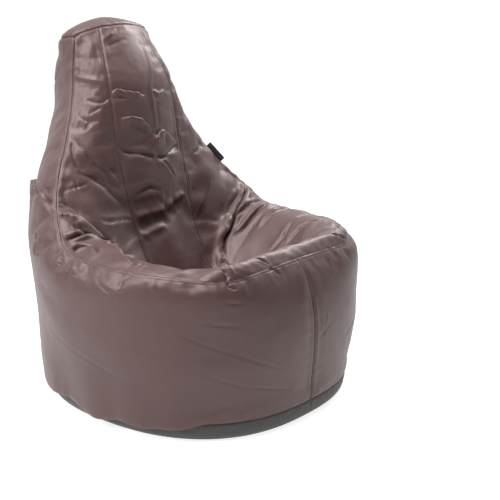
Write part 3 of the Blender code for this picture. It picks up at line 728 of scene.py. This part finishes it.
def fold_path(grid, words):
    """A fold's line in space, each point's share of its length, and its kind, height and width."""
    kind, height, width, *places = words.split()
    keys = np.array([place.split(",") for place in places], float)
    stations_along = along(keys)
    fine = np.linspace(0, stations_along[-1], 12 * len(keys))
    if len(keys) > 2:
        at = spline(keys, stations_along, fine)
    else:
        at = np.stack([np.interp(fine, stations_along, keys[:, k]) for k in (0, 1)], 1)
    at = np.clip(at, 0, np.array(grid.shape[:2]) - 1)
    path = np.array([read_both(grid, np.array([r]), np.array([c]))[0, 0] for r, c in at])
    length = along(path)
    return path, length / length[-1], kind, float(height) * MM, float(width) * MM


def fold(place, normal, path, share, kind, height, width, seed):
    """Moves the points near one fold's line."""
    reach = 4.5 * width
    low, high = path.min(0) - reach, path.max(0) + reach
    near = np.where(((place > low) & (place < high)).all(1))[0]
    if not len(near):
        return
    gap = place[near][:, None] - path[None]
    nearest = (gap**2).sum(2).argmin(1)
    offset = place[near] - path[nearest]
    run = np.gradient(path, axis=0)[nearest]
    run /= norm(run, axis=1)[:, None]
    up = normal[near]
    aside = np.cross(up, run)
    aside /= np.maximum(norm(aside, axis=1), 1e-9)[:, None]
    s = (offset * aside).sum(1)
    beyond = np.abs((offset * run).sum(1))
    t = share[nearest]
    wobble = 1 + 0.25 * np.sin(t * 9 + seed) + 0.12 * np.sin(t * 23 + seed * 2)
    taper = np.clip(t / 0.2, 0, 1) * np.clip((1 - t) / 0.25, 0, 1)
    taper = taper * (2 - taper) * wobble * bell(beyond / width)
    w = width * (0.75 + 0.25 * taper)
    if kind == "groove":
        rise = -np.exp(-np.abs(s / (0.55 * w)) ** 1.3) + 0.24 * bell((np.abs(s) - 1.6 * w) / w)
        shift = -0.35 * s / w * bell(s / w)
    elif kind == "ridge":
        rise = np.exp(-np.abs(s / (0.7 * w)) ** 1.5) - 0.35 * bell((np.abs(s) - 1.7 * w) / w)
        shift = np.zeros_like(s)
    else:
        side = np.sign(height)
        q = s * side
        rise = np.where(
            q < 0, bell(q / (2.0 * w)),
            1.7 * bell(q / (0.60 * w)) - 0.7 * bell(q / (1.7 * w)),
        )
        shift = side * 0.95 * bell(q / (0.95 * w))
    place[near] += up * (rise * abs(height) * taper)[:, None] + aside * (shift * w * taper)[:, None]


# ---- panels
FABRIC = 1.2 * MM
PINCH, PUFF = 2.6 * MM, 1.2 * MM
CENTRE_PINCH = 0.5  # the centre panel's seams lie flatter
# how strongly the cloth puckers along its first and last seam, each way
LIVELY = {"wall": (0.35, 0.6, 0.6, 0.75), "seat": (0.5, 0.3, 0.3, 0.25), "head": (0.4, 0.4, 0, 0)}
CRUMPLE = {"wall": 0.45, "seat": 1.0, "head": 0.8}  # how uneven the cloth is away from its seams, mm
STITCH_IN = 7.0 * MM  # the topstitch's distance from its seam
STITCH_SINK = 0.9 * MM
RIPPLE_HEIGHT, RIPPLE_REACH = 4.6 * MM, 34 * MM  # the broad puckers beside a seam
PUCKER_HEIGHT, PUCKER_REACH = 1.5 * MM, 15 * MM  # the small ones
SEAM_GAP = 0.35 * MM  # half the line of shadow in a seam
ALLOWANCE = 3.0 * MM  # how deep the edges turn in
ZIP_GAP = 5.2  # how far each edge stands back from the zip, mm
NO_SEAM = 1.0  # added to the distance from a border that isn't sewn


def unit(vectors):
    return vectors / np.maximum(norm(vectors, axis=-1), 1e-12)[..., None]


def lengths_in(grid, axis):
    """Each point's distance from the first and from the last line, along the cloth."""
    steps = norm(np.diff(grid, axis=axis), axis=2)
    start = np.concatenate([np.zeros_like(np.take(steps, [0], axis)), np.cumsum(steps, axis)], axis)
    return start, np.take(start, [-1], axis) - start


def turned_in(grid, normals, axis, depths, ends):
    """The panel with its seam allowance: lines past each end that turn inwards."""
    grid, normals, depths = (np.moveaxis(values, axis, 0) for values in (grid, normals, depths))
    inwards = [unit(grid[2] - grid[0]), unit(grid[-3] - grid[-1])]
    first, last = [], []
    for down, aside in ((1.0, 0.0), (2.4, 0.5)):
        for end, lines, edge in ((0, first, 0), (1, last, -1)):
            if ends[end]:
                drop = depths[edge][:, None] * down
                lines.append(grid[edge] - normals[edge] * drop + inwards[end] * aside * MM)
    repeated = [0] * len(first) + list(range(len(grid))) + [-1] * len(last)
    made = np.array(first[::-1] + list(grid) + last)
    return tuple(np.moveaxis(values, 0, axis) for values in (made, normals[repeated], depths[repeated]))


def panel(skin, points, normals, regions, parts, edges, stitched, folds, seed):
    """One sewn panel: its fine grid with folds, seams and puckers, and its topstitch lines."""
    grid = grid_of(points, skin, *regions)
    facing = grid_of(normals, skin, *regions)
    rows = fine_lines(grid, 0, parts[0], edges[:2])
    cols = fine_lines(grid, 1, parts[1], edges[2:])
    place = read_both(grid, rows, cols)
    up = unit(read_both(facing, rows, cols))
    shape = place.shape
    flat, flat_up = place.reshape(-1, 3).copy(), up.reshape(-1, 3)
    for number, path_and_shape in enumerate(folds):
        fold(flat, flat_up, *path_and_shape, number)
    calm = zip_nearness(flat).reshape(shape[:2])
    place = flat.reshape(shape)
    borders = (*lengths_in(place, 0), *lengths_in(place, 1))
    sides = [d if on else d + NO_SEAM for d, on in zip(borders, edges)]
    nearest = np.minimum.reduce(sides)
    which = np.argmin(sides, axis=0)
    run = np.where(which < 2, borders[2], borders[0])
    ripple = 0.32 - 1.15 * ridged(run, nearest, which, 34, 9, seed)
    tight = 0.3 - 1.1 * ridged(run, nearest, which, 85, 14, seed + 2.5)
    family = {"w": "wall", "h": "head"}.get(regions[0][0], "seat")
    lively = (1 - calm) * (1 - np.exp(-nearest / (3 * MM))) * np.array(LIVELY[family])[which]
    lift = RIPPLE_HEIGHT * ripple * np.exp(-nearest / RIPPLE_REACH) * lively
    lift += PUCKER_HEIGHT * tight * np.exp(-nearest / PUCKER_REACH) * lively
    # on the front and arm rim the seam isn't drawn in
    on_rim = np.clip((0.44 - place[..., 2]) / 0.03, 0, 1) * np.clip((0.06 - place[..., 1]) / 0.04, 0, 1)
    on_rim *= place[..., 2] > 0.3
    pinch = PINCH * (1 - 0.7 * calm) * (1 - 0.85 * on_rim)
    if family == "seat":
        pinch = pinch * np.where(which >= 2 if len(regions) > 1 else which == 3, CENTRE_PINCH, 1)
    lift += crumple(place) * CRUMPLE[family] * MM * (1 - calm) * (1 - np.exp(-nearest / (6 * MM)))
    lift += PUFF * (1 - on_rim) * bell((nearest - 9 * MM) / (6 * MM))
    lift -= pinch * np.exp(-nearest / (1.8 * MM))
    stitch = np.zeros_like(nearest)
    for d, on in zip(borders, stitched):
        if on:
            stitch = np.maximum(stitch, bell((d - STITCH_IN) / (1.0 * MM)))
    lift -= STITCH_SINK * stitch
    place = place + up * lift[..., None]
    if family == "wall":
        # the edges part over the zip
        height = place[..., 2]
        gap = np.clip(1 - np.abs(place[..., 0]) / (16 * MM), 0, 1) * ZIP_GAP * MM
        ends = np.clip((height - ZIP_LOW_Z + 4 * MM) / (4 * MM), 0, 1)
        ends *= np.clip((ZIP_HIGH_Z + 4 * MM - height) / (4 * MM), 0, 1)
        gap *= ends * (calm > 0.5)
        place[..., 0] += gap if regions[0] == "wall_left" else -gap
    paths = [
        line_at(place, up, d, STITCH_IN, axis)
        for d, on, axis in zip(borders, stitched, (0, 0, 1, 1)) if on
    ]
    for axis, ends_on in ((0, edges[:2]), (1, edges[2:])):
        moved = np.moveaxis(place, axis, 0)
        if ends_on[0]:
            moved[0] += unit(moved[2] - moved[0]) * SEAM_GAP
        if ends_on[1]:
            moved[-1] += unit(moved[-3] - moved[-1]) * SEAM_GAP
    depths = ALLOWANCE * (1 - 0.75 * calm)
    for axis, ends_on in ((0, edges[:2]), (1, edges[2:])):
        place, up, depths = turned_in(place, up, axis, depths, ends_on)
    return place, paths


def ridged(run, nearest, which, along_scale, away_scale, seed):
    """Sharp-crested noise, by the place along the nearest seam and the distance from it."""
    return np.array([
        abs(noise.noise(Vector((a * along_scale, b * away_scale, c * 5 + seed))))
        for a, b, c in zip(run.ravel(), nearest.ravel(), which.ravel())
    ]).reshape(run.shape)


def crumple(place):
    """Small random creases over the whole cloth: sharp-edged, in two sizes."""
    made = []
    for p in place.reshape(-1, 3):
        at = Vector(p)
        broad = abs(noise.noise(at * 13 + Vector((5, 1, 2)))) + 0.5 * noise.noise(at * 7)
        fine = abs(noise.noise(at * 34 + Vector((1, 8, 3))))
        where = min(max(0.6 + 1.2 * noise.noise(at * 5 + Vector((2, 2, 9))), 0), 1)
        made.append(0.4 - 2.6 * broad - 0.9 * fine * where)
    return np.array(made).reshape(place.shape[:-1])


def line_at(place, up, distance, wanted, axis):
    """The line on the cloth at a distance from a border, with its normals."""
    place, up, distance = (np.moveaxis(values, axis, 0) for values in (place, up, distance))
    line, facing = [], []
    for i in range(place.shape[1]):
        order = np.argsort(distance[:, i])
        d = distance[order, i]
        line.append([np.interp(wanted, d, place[order, i, k]) for k in range(3)])
        facing.append([np.interp(wanted, d, up[order, i, k]) for k in range(3)])
    return np.array(line), unit(np.array(facing))


def closed_mesh(name, grid, flip):
    """The grid as a mesh, its doubled points merged."""
    rows, cols = grid.shape[:2]
    ids = np.arange(rows * cols).reshape(rows, cols)
    faces = [face[::-1] if flip else face for face in quads(ids)]
    mesh = mesh_of(name, grid.reshape(-1, 3), faces)
    made = bmesh.new()
    made.from_mesh(mesh)
    bmesh.ops.remove_doubles(made, verts=made.verts, dist=0.02 * MM)
    bmesh.ops.dissolve_degenerate(made, edges=made.edges, dist=0.01 * MM)
    made.to_mesh(mesh)
    made.free()
    mesh.shade_smooth()
    return mesh


def add_piece(name, data, material):
    obj = placed(name, data)
    data.materials.append(material)
    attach(obj, "root")
    return obj


def thicken(obj, thickness):
    made = obj.modifiers.new("fabric", "SOLIDIFY")
    made.thickness = thickness
    made.offset = -1


def padded_piece(name, mesh, material, thickness, stands_for):
    piece = add_piece(name, mesh, material)
    if thickness:
        thicken(piece, thickness)
    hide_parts(stands_for)


# name: regions, parts of a grid step along each axis, which borders are seams, which borders
# have a topstitch (start and end along, start and end across)
COVER = {
    "outer_panel_left": (("wall_left",), (2, 2), (1, 1, 1, 1), (1, 1, 0, 1)),
    "outer_panel_right": (("wall_right",), (2, 2), (1, 1, 1, 1), (0, 1, 0, 1)),
    "seat_side_panel_left": (("side_left",), (3, 3), (1, 1, 1, 1), (0, 0, 0, 1)),
    "seat_side_panel_right": (("side_right",), (3, 3), (1, 1, 1, 1), (0, 0, 0, 1)),
    "seat_centre_panel": (("centre_left", "centre_right"), (3, 3), (1, 1, 1, 1), (0, 0, 0, 0)),
    "head_cap": (("head_left", "head_right"), (3, 2), (1, 1, 0, 0), (0, 0, 0, 0)),
}


# ---- camera and light
LENS, SENSOR = 76.7, 36  # millimetres
CAMERA_AZIMUTH, CAMERA_DISTANCE, CAMERA_HEIGHT = -47, 2.6, 1.05
CAMERA_TURN, CAMERA_DOWN = -50.32, 15.13  # degrees: where it looks, and how far below level
BRIGHT_SIDE = (0.64, 0.77, 0.1)  # the studio is bright behind the chair and dim in front of it
BACKDROP, FLOOR_SHADE, FLOOR_GLOW, FLOOR_HALF = 1.05, 0.42, 0.84, 45.0
LIGHTS = [  # name, place, target, side, watts
    ("key", (-2.3, 0.8, 2.0), (0, 0, 0.4), 1.0, 50),
    ("top", (-0.9, 0.0, 3.0), (0, 0, 0.4), 1.8, 116),
    ("right", (1.8, 0.15, 2.1), (0.05, -0.3, 0.38), 1.0, 42),
]


def camera_and_light():
    scene = bpy.context.scene
    scene.view_settings.view_transform = "Standard"
    lens = bpy.data.cameras.new("camera")
    lens.lens, lens.sensor_width = LENS, SENSOR
    eye = placed("camera", lens)
    azimuth = math.radians(CAMERA_AZIMUTH)
    eye.location = (
        math.sin(azimuth) * CAMERA_DISTANCE, -math.cos(azimuth) * CAMERA_DISTANCE, CAMERA_HEIGHT)
    eye.rotation_euler = (math.radians(90 - CAMERA_DOWN), 0, math.radians(CAMERA_TURN))
    scene.camera = eye

    world = bpy.data.worlds.new("studio")
    scene.world = world
    world.use_nodes = True
    tree = world.node_tree
    sky = tree.nodes["Background"]
    sky.inputs["Color"].default_value = (1, 1, 1, 1)
    facing = node(tree, "VectorMath", operation="DOT_PRODUCT")
    facing.inputs[1].default_value = BRIGHT_SIDE
    tree.links.new(node(tree, "TexCoord").outputs["Generated"], facing.inputs[0])
    glow = node(tree, "MapRange", interpolation_type="SMOOTHSTEP", From_Min=-0.35, From_Max=0.75,
                To_Min=0.05, To_Max=1.05, Value=facing.outputs["Value"])
    tree.links.new(glow.outputs["Result"], sky.inputs["Strength"])
    # what the camera sees behind the floor is plain white
    backdrop = node(tree, "Background", Color=(1, 1, 1, 1), Strength=BACKDROP)
    either = node(tree, "MixShader", Fac=node(tree, "LightPath").outputs["Is Camera Ray"])
    tree.links.new(sky.outputs["Background"], either.inputs[1])
    tree.links.new(backdrop.outputs["Background"], either.inputs[2])
    tree.links.new(either.outputs["Shader"], tree.nodes["World Output"].inputs["Surface"])

    for name, place, target, side, watts in LIGHTS:
        light = bpy.data.lights.new(name, "AREA")
        light.shape = "RECTANGLE"
        light.size = light.size_y = side
        light.energy = watts
        obj = placed(name, light)
        obj.location = place
        obj.visible_camera = False
        obj.rotation_euler = (Vector(target) - Vector(place)).to_track_quat("-Z", "Y").to_euler()

    far = FLOOR_HALF
    corners = [(-far, -far, 0), (far, -far, 0), (far, far, 0), (-far, far, 0)]
    mesh = mesh_of("floor", corners, [(0, 1, 2, 3)])
    floor = placed("floor", mesh)
    made, _, shader, _ = new_material("floor_paint", [FLOOR_SHADE] * 3, 0.9)
    shader.inputs["Specular IOR Level"].default_value = 0.0
    shader.inputs["Emission Color"].default_value = (1, 1, 1, 1)
    shader.inputs["Emission Strength"].default_value = FLOOR_GLOW
    mesh.materials.append(made)


# ---- stitches and other pieces
STITCH_LENGTH, STITCH_GAP, STITCH_HALF = 3.6 * MM, 1.6 * MM, 0.42 * MM


def stitches(name, paths, material, margin=9 * MM):
    """Thread dashes along a panel's topstitch lines, joined as one piece."""
    points, faces = [], []
    ring = [(math.cos(k * math.tau / 6), math.sin(k * math.tau / 6)) for k in range(6)]
    for line, facing in paths:
        length = along(line)
        starts = np.arange(margin, length[-1] - margin - 0.8 * STITCH_LENGTH, STITCH_LENGTH + STITCH_GAP)
        for start in starts:
            ends = start + np.array([0, 0.25, 0.75, 1]) * STITCH_LENGTH
            at = np.stack([np.interp(ends, length, line[:, k]) for k in range(3)], 1)
            up = np.array([np.interp(start, length, facing[:, k]) for k in range(3)])
            run = unit(at[-1] - at[0])
            aside = unit(np.cross(up, run))
            first = len(points)
            for place, size, rise in zip(at, (0.35, 1.0, 1.0, 0.35), (-0.5, 0.35, 0.35, -0.5)):
                for a, b in ring:
                    points.append(place + (aside * a * size + up * (b * size + rise)) * STITCH_HALF)
            for k in range(3):
                for m in range(6):
                    n = (m + 1) % 6
                    low, high = first + 6 * k, first + 6 * k + 6
                    faces.append((low + m, low + n, high + n, high + m))
            faces.append(tuple(first + m for m in range(5, -1, -1)))
            faces.append(tuple(first + 18 + m for m in range(6)))
    mesh = mesh_of(name, points, faces)
    mesh.shade_smooth()
    return add_piece(name, mesh, material)


def cross_paths(grid):
    """The two short lines of a stitched cross, where the outer panels meet at the rim."""
    corner, down, aside = grid[2, -4], grid[2, -14], grid[12, -4]
    run, across = unit(down - corner), unit(aside - corner)
    up = unit(np.cross(across, run))
    up = up * np.sign(-up[1])
    half = 8 * MM
    middle = corner + run * 3 * MM + up * 1.2 * MM
    lines = []
    for a, b in ((1, 1), (1, -1)):
        ends = [middle + (run * a + across * b) * half * t for t in (-0.7, 0, 0.7)]
        lines.append((np.array(ends), np.array([up] * 3)))
    return lines


def ring_sheet(outer, inner, steps):
    """A grid between two closed lines of points, the outer one first."""
    share = np.linspace(0, 1, steps + 1)[:, None, None]
    return outer[None] * (1 - share) + inner[None] * share


def base_ring(skin, points, line):
    """One line of the base's grid, right round the chair."""
    left = points[skin.grids["base_left"][:, line]]
    right = points[skin.grids["base_right"][:, line]]
    return np.concatenate([left, right[-2::-1]])


BASE_PUCKER = 2.4 * MM


def base_cloth(skin, points, material):
    """The dark base: a band that curves under, with puckers at its seam, and the flat floor area."""
    band = np.stack([base_ring(skin, points, line) for line in range(len(BASE_SHARES))])
    fine = read_lines(band, np.linspace(0, len(band) - 1, 25), 0)
    fine = read_lines(fine, np.linspace(0, fine.shape[1] - 1, 2 * fine.shape[1] - 1), 1)
    middle = fine[-1].mean(0)
    flat = ring_sheet(fine[-1], np.repeat(middle[None], fine.shape[1], 0), 14)[1:]
    out = fine - middle
    out[..., 2] = 0
    length = along(fine[0])
    for i, line in enumerate(fine):
        fade = max(1 - i / 12, 0) * min(i / 3, 1)
        waves = np.array([noise.noise(Vector((at * 60, i * 0.25, 4))) for at in length])
        line += unit(out[i]) * waves[:, None] * BASE_PUCKER * fade
    edge = fine[0] - unit(out[0]) * 2.2 * MM + [0, 0, 1.0 * MM]
    hem = edge - unit(out[0]) * 2.0 * MM + [0, 0, 6 * MM]
    fine[0] -= unit(out[0]) * 1.2 * MM
    grid = np.concatenate([hem[None], edge[None], fine, flat])
    grid[..., 2] = np.maximum(grid[..., 2], 0)
    mesh = closed_mesh("base_cloth", grid, False)
    padded_piece("cover_base_panel", mesh, material, FABRIC, "base_panel")


LINER_IN, BEADS_IN = 17.5 * MM, 22.5 * MM  # how far they lie inside the cover's surface
COTTON = 0.6 * MM
LINER_REGIONS = {
    "liner_wall_left": ("wall_left",), "liner_wall_right": ("wall_right",),
    "liner_seat": ("side_left", "side_right", "centre_left", "centre_right", "head_left", "head_right"),
}


def inner_layer(skin, normals, depth, wave, scale, zip_depth):
    """The skin's points drawn inwards, with the soft unevenness of what lies under the cover."""
    lift = np.array([noise.noise(Vector(p) * scale) for p in skin.points])
    calm = zip_nearness(skin.points)
    deep = depth * (1 - calm) + zip_depth * calm - wave * lift * (1 - calm)
    return skin.points - normals * deep[:, None]


def liner(skin, normals, material):
    """The liner's walls and seat, of thin cotton that lies loosely on the beads."""
    places = inner_layer(skin, normals, LINER_IN, 2.5 * MM, 22, 9 * MM)
    for name, regions in LINER_REGIONS.items():
        numbers = {}
        faces = []
        for region in regions:
            left = region.endswith("left")
            for face in quads(skin.grids[region]):
                loop = list(dict.fromkeys(face))
                if len(loop) > 2:
                    loop = loop[::-1] if left else loop
                    faces.append([numbers.setdefault(at, len(numbers)) for at in loop][::-1])
        mesh = mesh_of(name, places[list(numbers)], faces)
        mesh.shade_smooth()
        padded_piece(name + "_cloth", mesh, material, COTTON, name)


def liner_floor(skin, material):
    """The liner's base: slack cotton over the floor of the cover, round its zip's slot."""
    outer = base_ring(skin, skin.points, len(BASE_SHARES) - 1)
    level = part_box("liner_zip_tape_left")[0][2] - 1.5 * MM
    tapes = [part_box(f"liner_zip_tape_{side}") for side in ("left", "right")]
    centre = [(min(t[0][k] for t in tapes) + max(t[1][k] for t in tapes)) / 2 for k in (0, 1)]
    half_x = (tapes[0][1][0] - tapes[0][0][0]) / 2 - 8 * MM
    angles = np.arctan2(outer[:, 1] - centre[1], outer[:, 0] - centre[0])
    slot = np.stack([
        centre[0] + np.clip(half_x * np.cos(angles) * 1.25, -half_x, half_x),
        centre[1] + np.clip(np.sin(angles) * 60 * MM, -5 * MM, 5 * MM),
        np.full(len(angles), level),
    ], 1)
    outer = outer.copy()
    outer[:, 2] = level
    grid = ring_sheet(outer, slot, 24)
    for i in range(1, 23):
        for j in range(grid.shape[1]):
            grid[i, j, 2] += 1.0 * MM * noise.noise(Vector(grid[i, j]) * 25)
    mesh = closed_mesh("liner_base_cloth", grid, False)
    padded_piece("liner_base_cloth", mesh, material, COTTON, "liner_base")


def beads(skin, normals, material):
    """The filling as one body, its surface dimpled by the beads that press on the liner."""
    places = inner_layer(skin, normals, BEADS_IN, 3.0 * MM, 18, 13 * MM)
    rim = []
    faces = [list(face) for face in skin.faces]
    for side in ("left", "right"):
        line = skin.grids[f"base_{side}"][:, -1].tolist()
        rim += line if side == "left" else line[-2:0:-1]
    places[rim, 2] = places[rim, 2].mean()
    faces.append(rim)
    mesh = mesh_of("bead_fill_body", places, faces)
    made = bmesh.new()
    made.from_mesh(mesh)
    bmesh.ops.recalc_face_normals(made, faces=made.faces)
    made.to_mesh(mesh)
    made.free()
    mesh.shade_smooth()
    padded_piece("bead_fill_body", mesh, material, 0, "bead_fill")


TAB_LENGTH, TAB_SEWN_IN = 0.062, 2 * MM
TAB_REACH = 13  # mm


def side_tab(skin, soft, normals, material):
    """A plain woven tab, folded double and caught in the back rest's left seam."""
    low, high = (np.array(corner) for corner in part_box("side_tag"))
    middle = (low + high) / 2
    grid = skin.grids["side_left"][:, 0]
    nearest = int(np.argmin(norm(skin.points[grid] - middle, axis=1)))
    line = soft[grid[nearest - 3:nearest + 4]]
    facing = normals[grid[nearest - 3:nearest + 4]].mean(0)
    rows = read_lines(line[:, None], np.linspace(0, 6, 41), 0)[:, 0]
    length = along(rows)
    rows = rows[np.abs(length - length[-1] / 2) < TAB_LENGTH / 2]
    run = unit(rows[-1] - rows[0])
    out = unit(facing - run * (facing @ run))
    aside = np.cross(run, out)
    half = [(0.9, -2.0), (0.8, 3.0), (0.9, 7.0), (1.1, 10.0), (1.0, 11.8), (0.5, 12.9)]
    profile = half + [(0, 13.2)] + [(-x, y) for x, y in half[::-1]]
    sheet_rows = []
    for k, place in enumerate(rows):
        wave = 0.9 * MM * math.sin(k * 0.22)
        ends = 1 - 0.06 * (abs(2 * k / (len(rows) - 1) - 1)) ** 6
        sheet_rows.append([
            place + out * y * MM * ends
            + aside * (x * MM + (wave + y * y * 0.011 * MM) * max(y, 0) / TAB_REACH)
            for x, y in profile
        ])
    mesh = closed_mesh("side_tab", np.array(sheet_rows), False)
    piece = add_piece("side_tab", mesh, material)
    thicken(piece, 0.45 * MM)
    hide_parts("side_tag")


def zip_looks():
    """Finer materials on the zips' own CAD pieces."""
    tape = woven("zip_tape_weave", (0.085, 0.060, 0.058), 2600.0)
    coil = woven("zip_coil_nylon", (0.070, 0.052, 0.050), 1400.0, 0.42)
    brass = metal("zip_metal_worn", (0.30, 0.28, 0.26))
    for name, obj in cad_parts.items():
        if "_zip_" in name:
            looks = tape if "tape" in name else coil if "teeth" in name else brass
            for place in obj.material_slots:
                place.material = looks


def build():
    camera_and_light()
    skin = Skin()
    hide = leather("cover_leather", LEATHER_COLOUR)
    thread = woven("thread", THREAD_COLOUR, 4000.0, 0.6)
    canvas = woven("base_weave", (0.075, 0.070, 0.067), 1500.0)
    cotton = woven("liner_weave", (0.70, 0.68, 0.63), 1800.0)
    foam = bead_foam("bead_cells", (0.86, 0.86, 0.84))
    ribbon = woven("tag_ribbon", (0.020, 0.020, 0.024), 2400.0)
    soft = sagged(skin, simulated(skin))
    flat_normals = vertex_normals(skin.points, skin.faces)
    soft_normals = vertex_normals(soft, skin.faces)
    folds = []
    for words in FOLDS:
        if words.endswith(":"):
            region = soft[skin.grids[words[:-1]]]
        else:
            folds.append(fold_path(region, words))
    for seed, (name, (regions, parts, edges, stitched)) in enumerate(COVER.items()):
        flip = regions in (("wall_right",), ("side_right",))
        grid, paths = panel(
            skin, soft, soft_normals, regions, parts, edges, stitched, folds, seed * 11)
        mesh = closed_mesh(name, grid, flip)
        padded_piece("cover_" + name, mesh, hide, FABRIC, name)
        if paths:
            stitches(name + "_topstitch", paths, thread)
        if name == "outer_panel_right":
            stitches("front_cross_stitch", cross_paths(grid), thread, 0)
    base_cloth(skin, soft, canvas)
    liner(skin, flat_normals, cotton)
    liner_floor(skin, cotton)
    beads(skin, flat_normals, foam)
    side_tab(skin, soft, soft_normals, ribbon)
    zip_looks()


build()
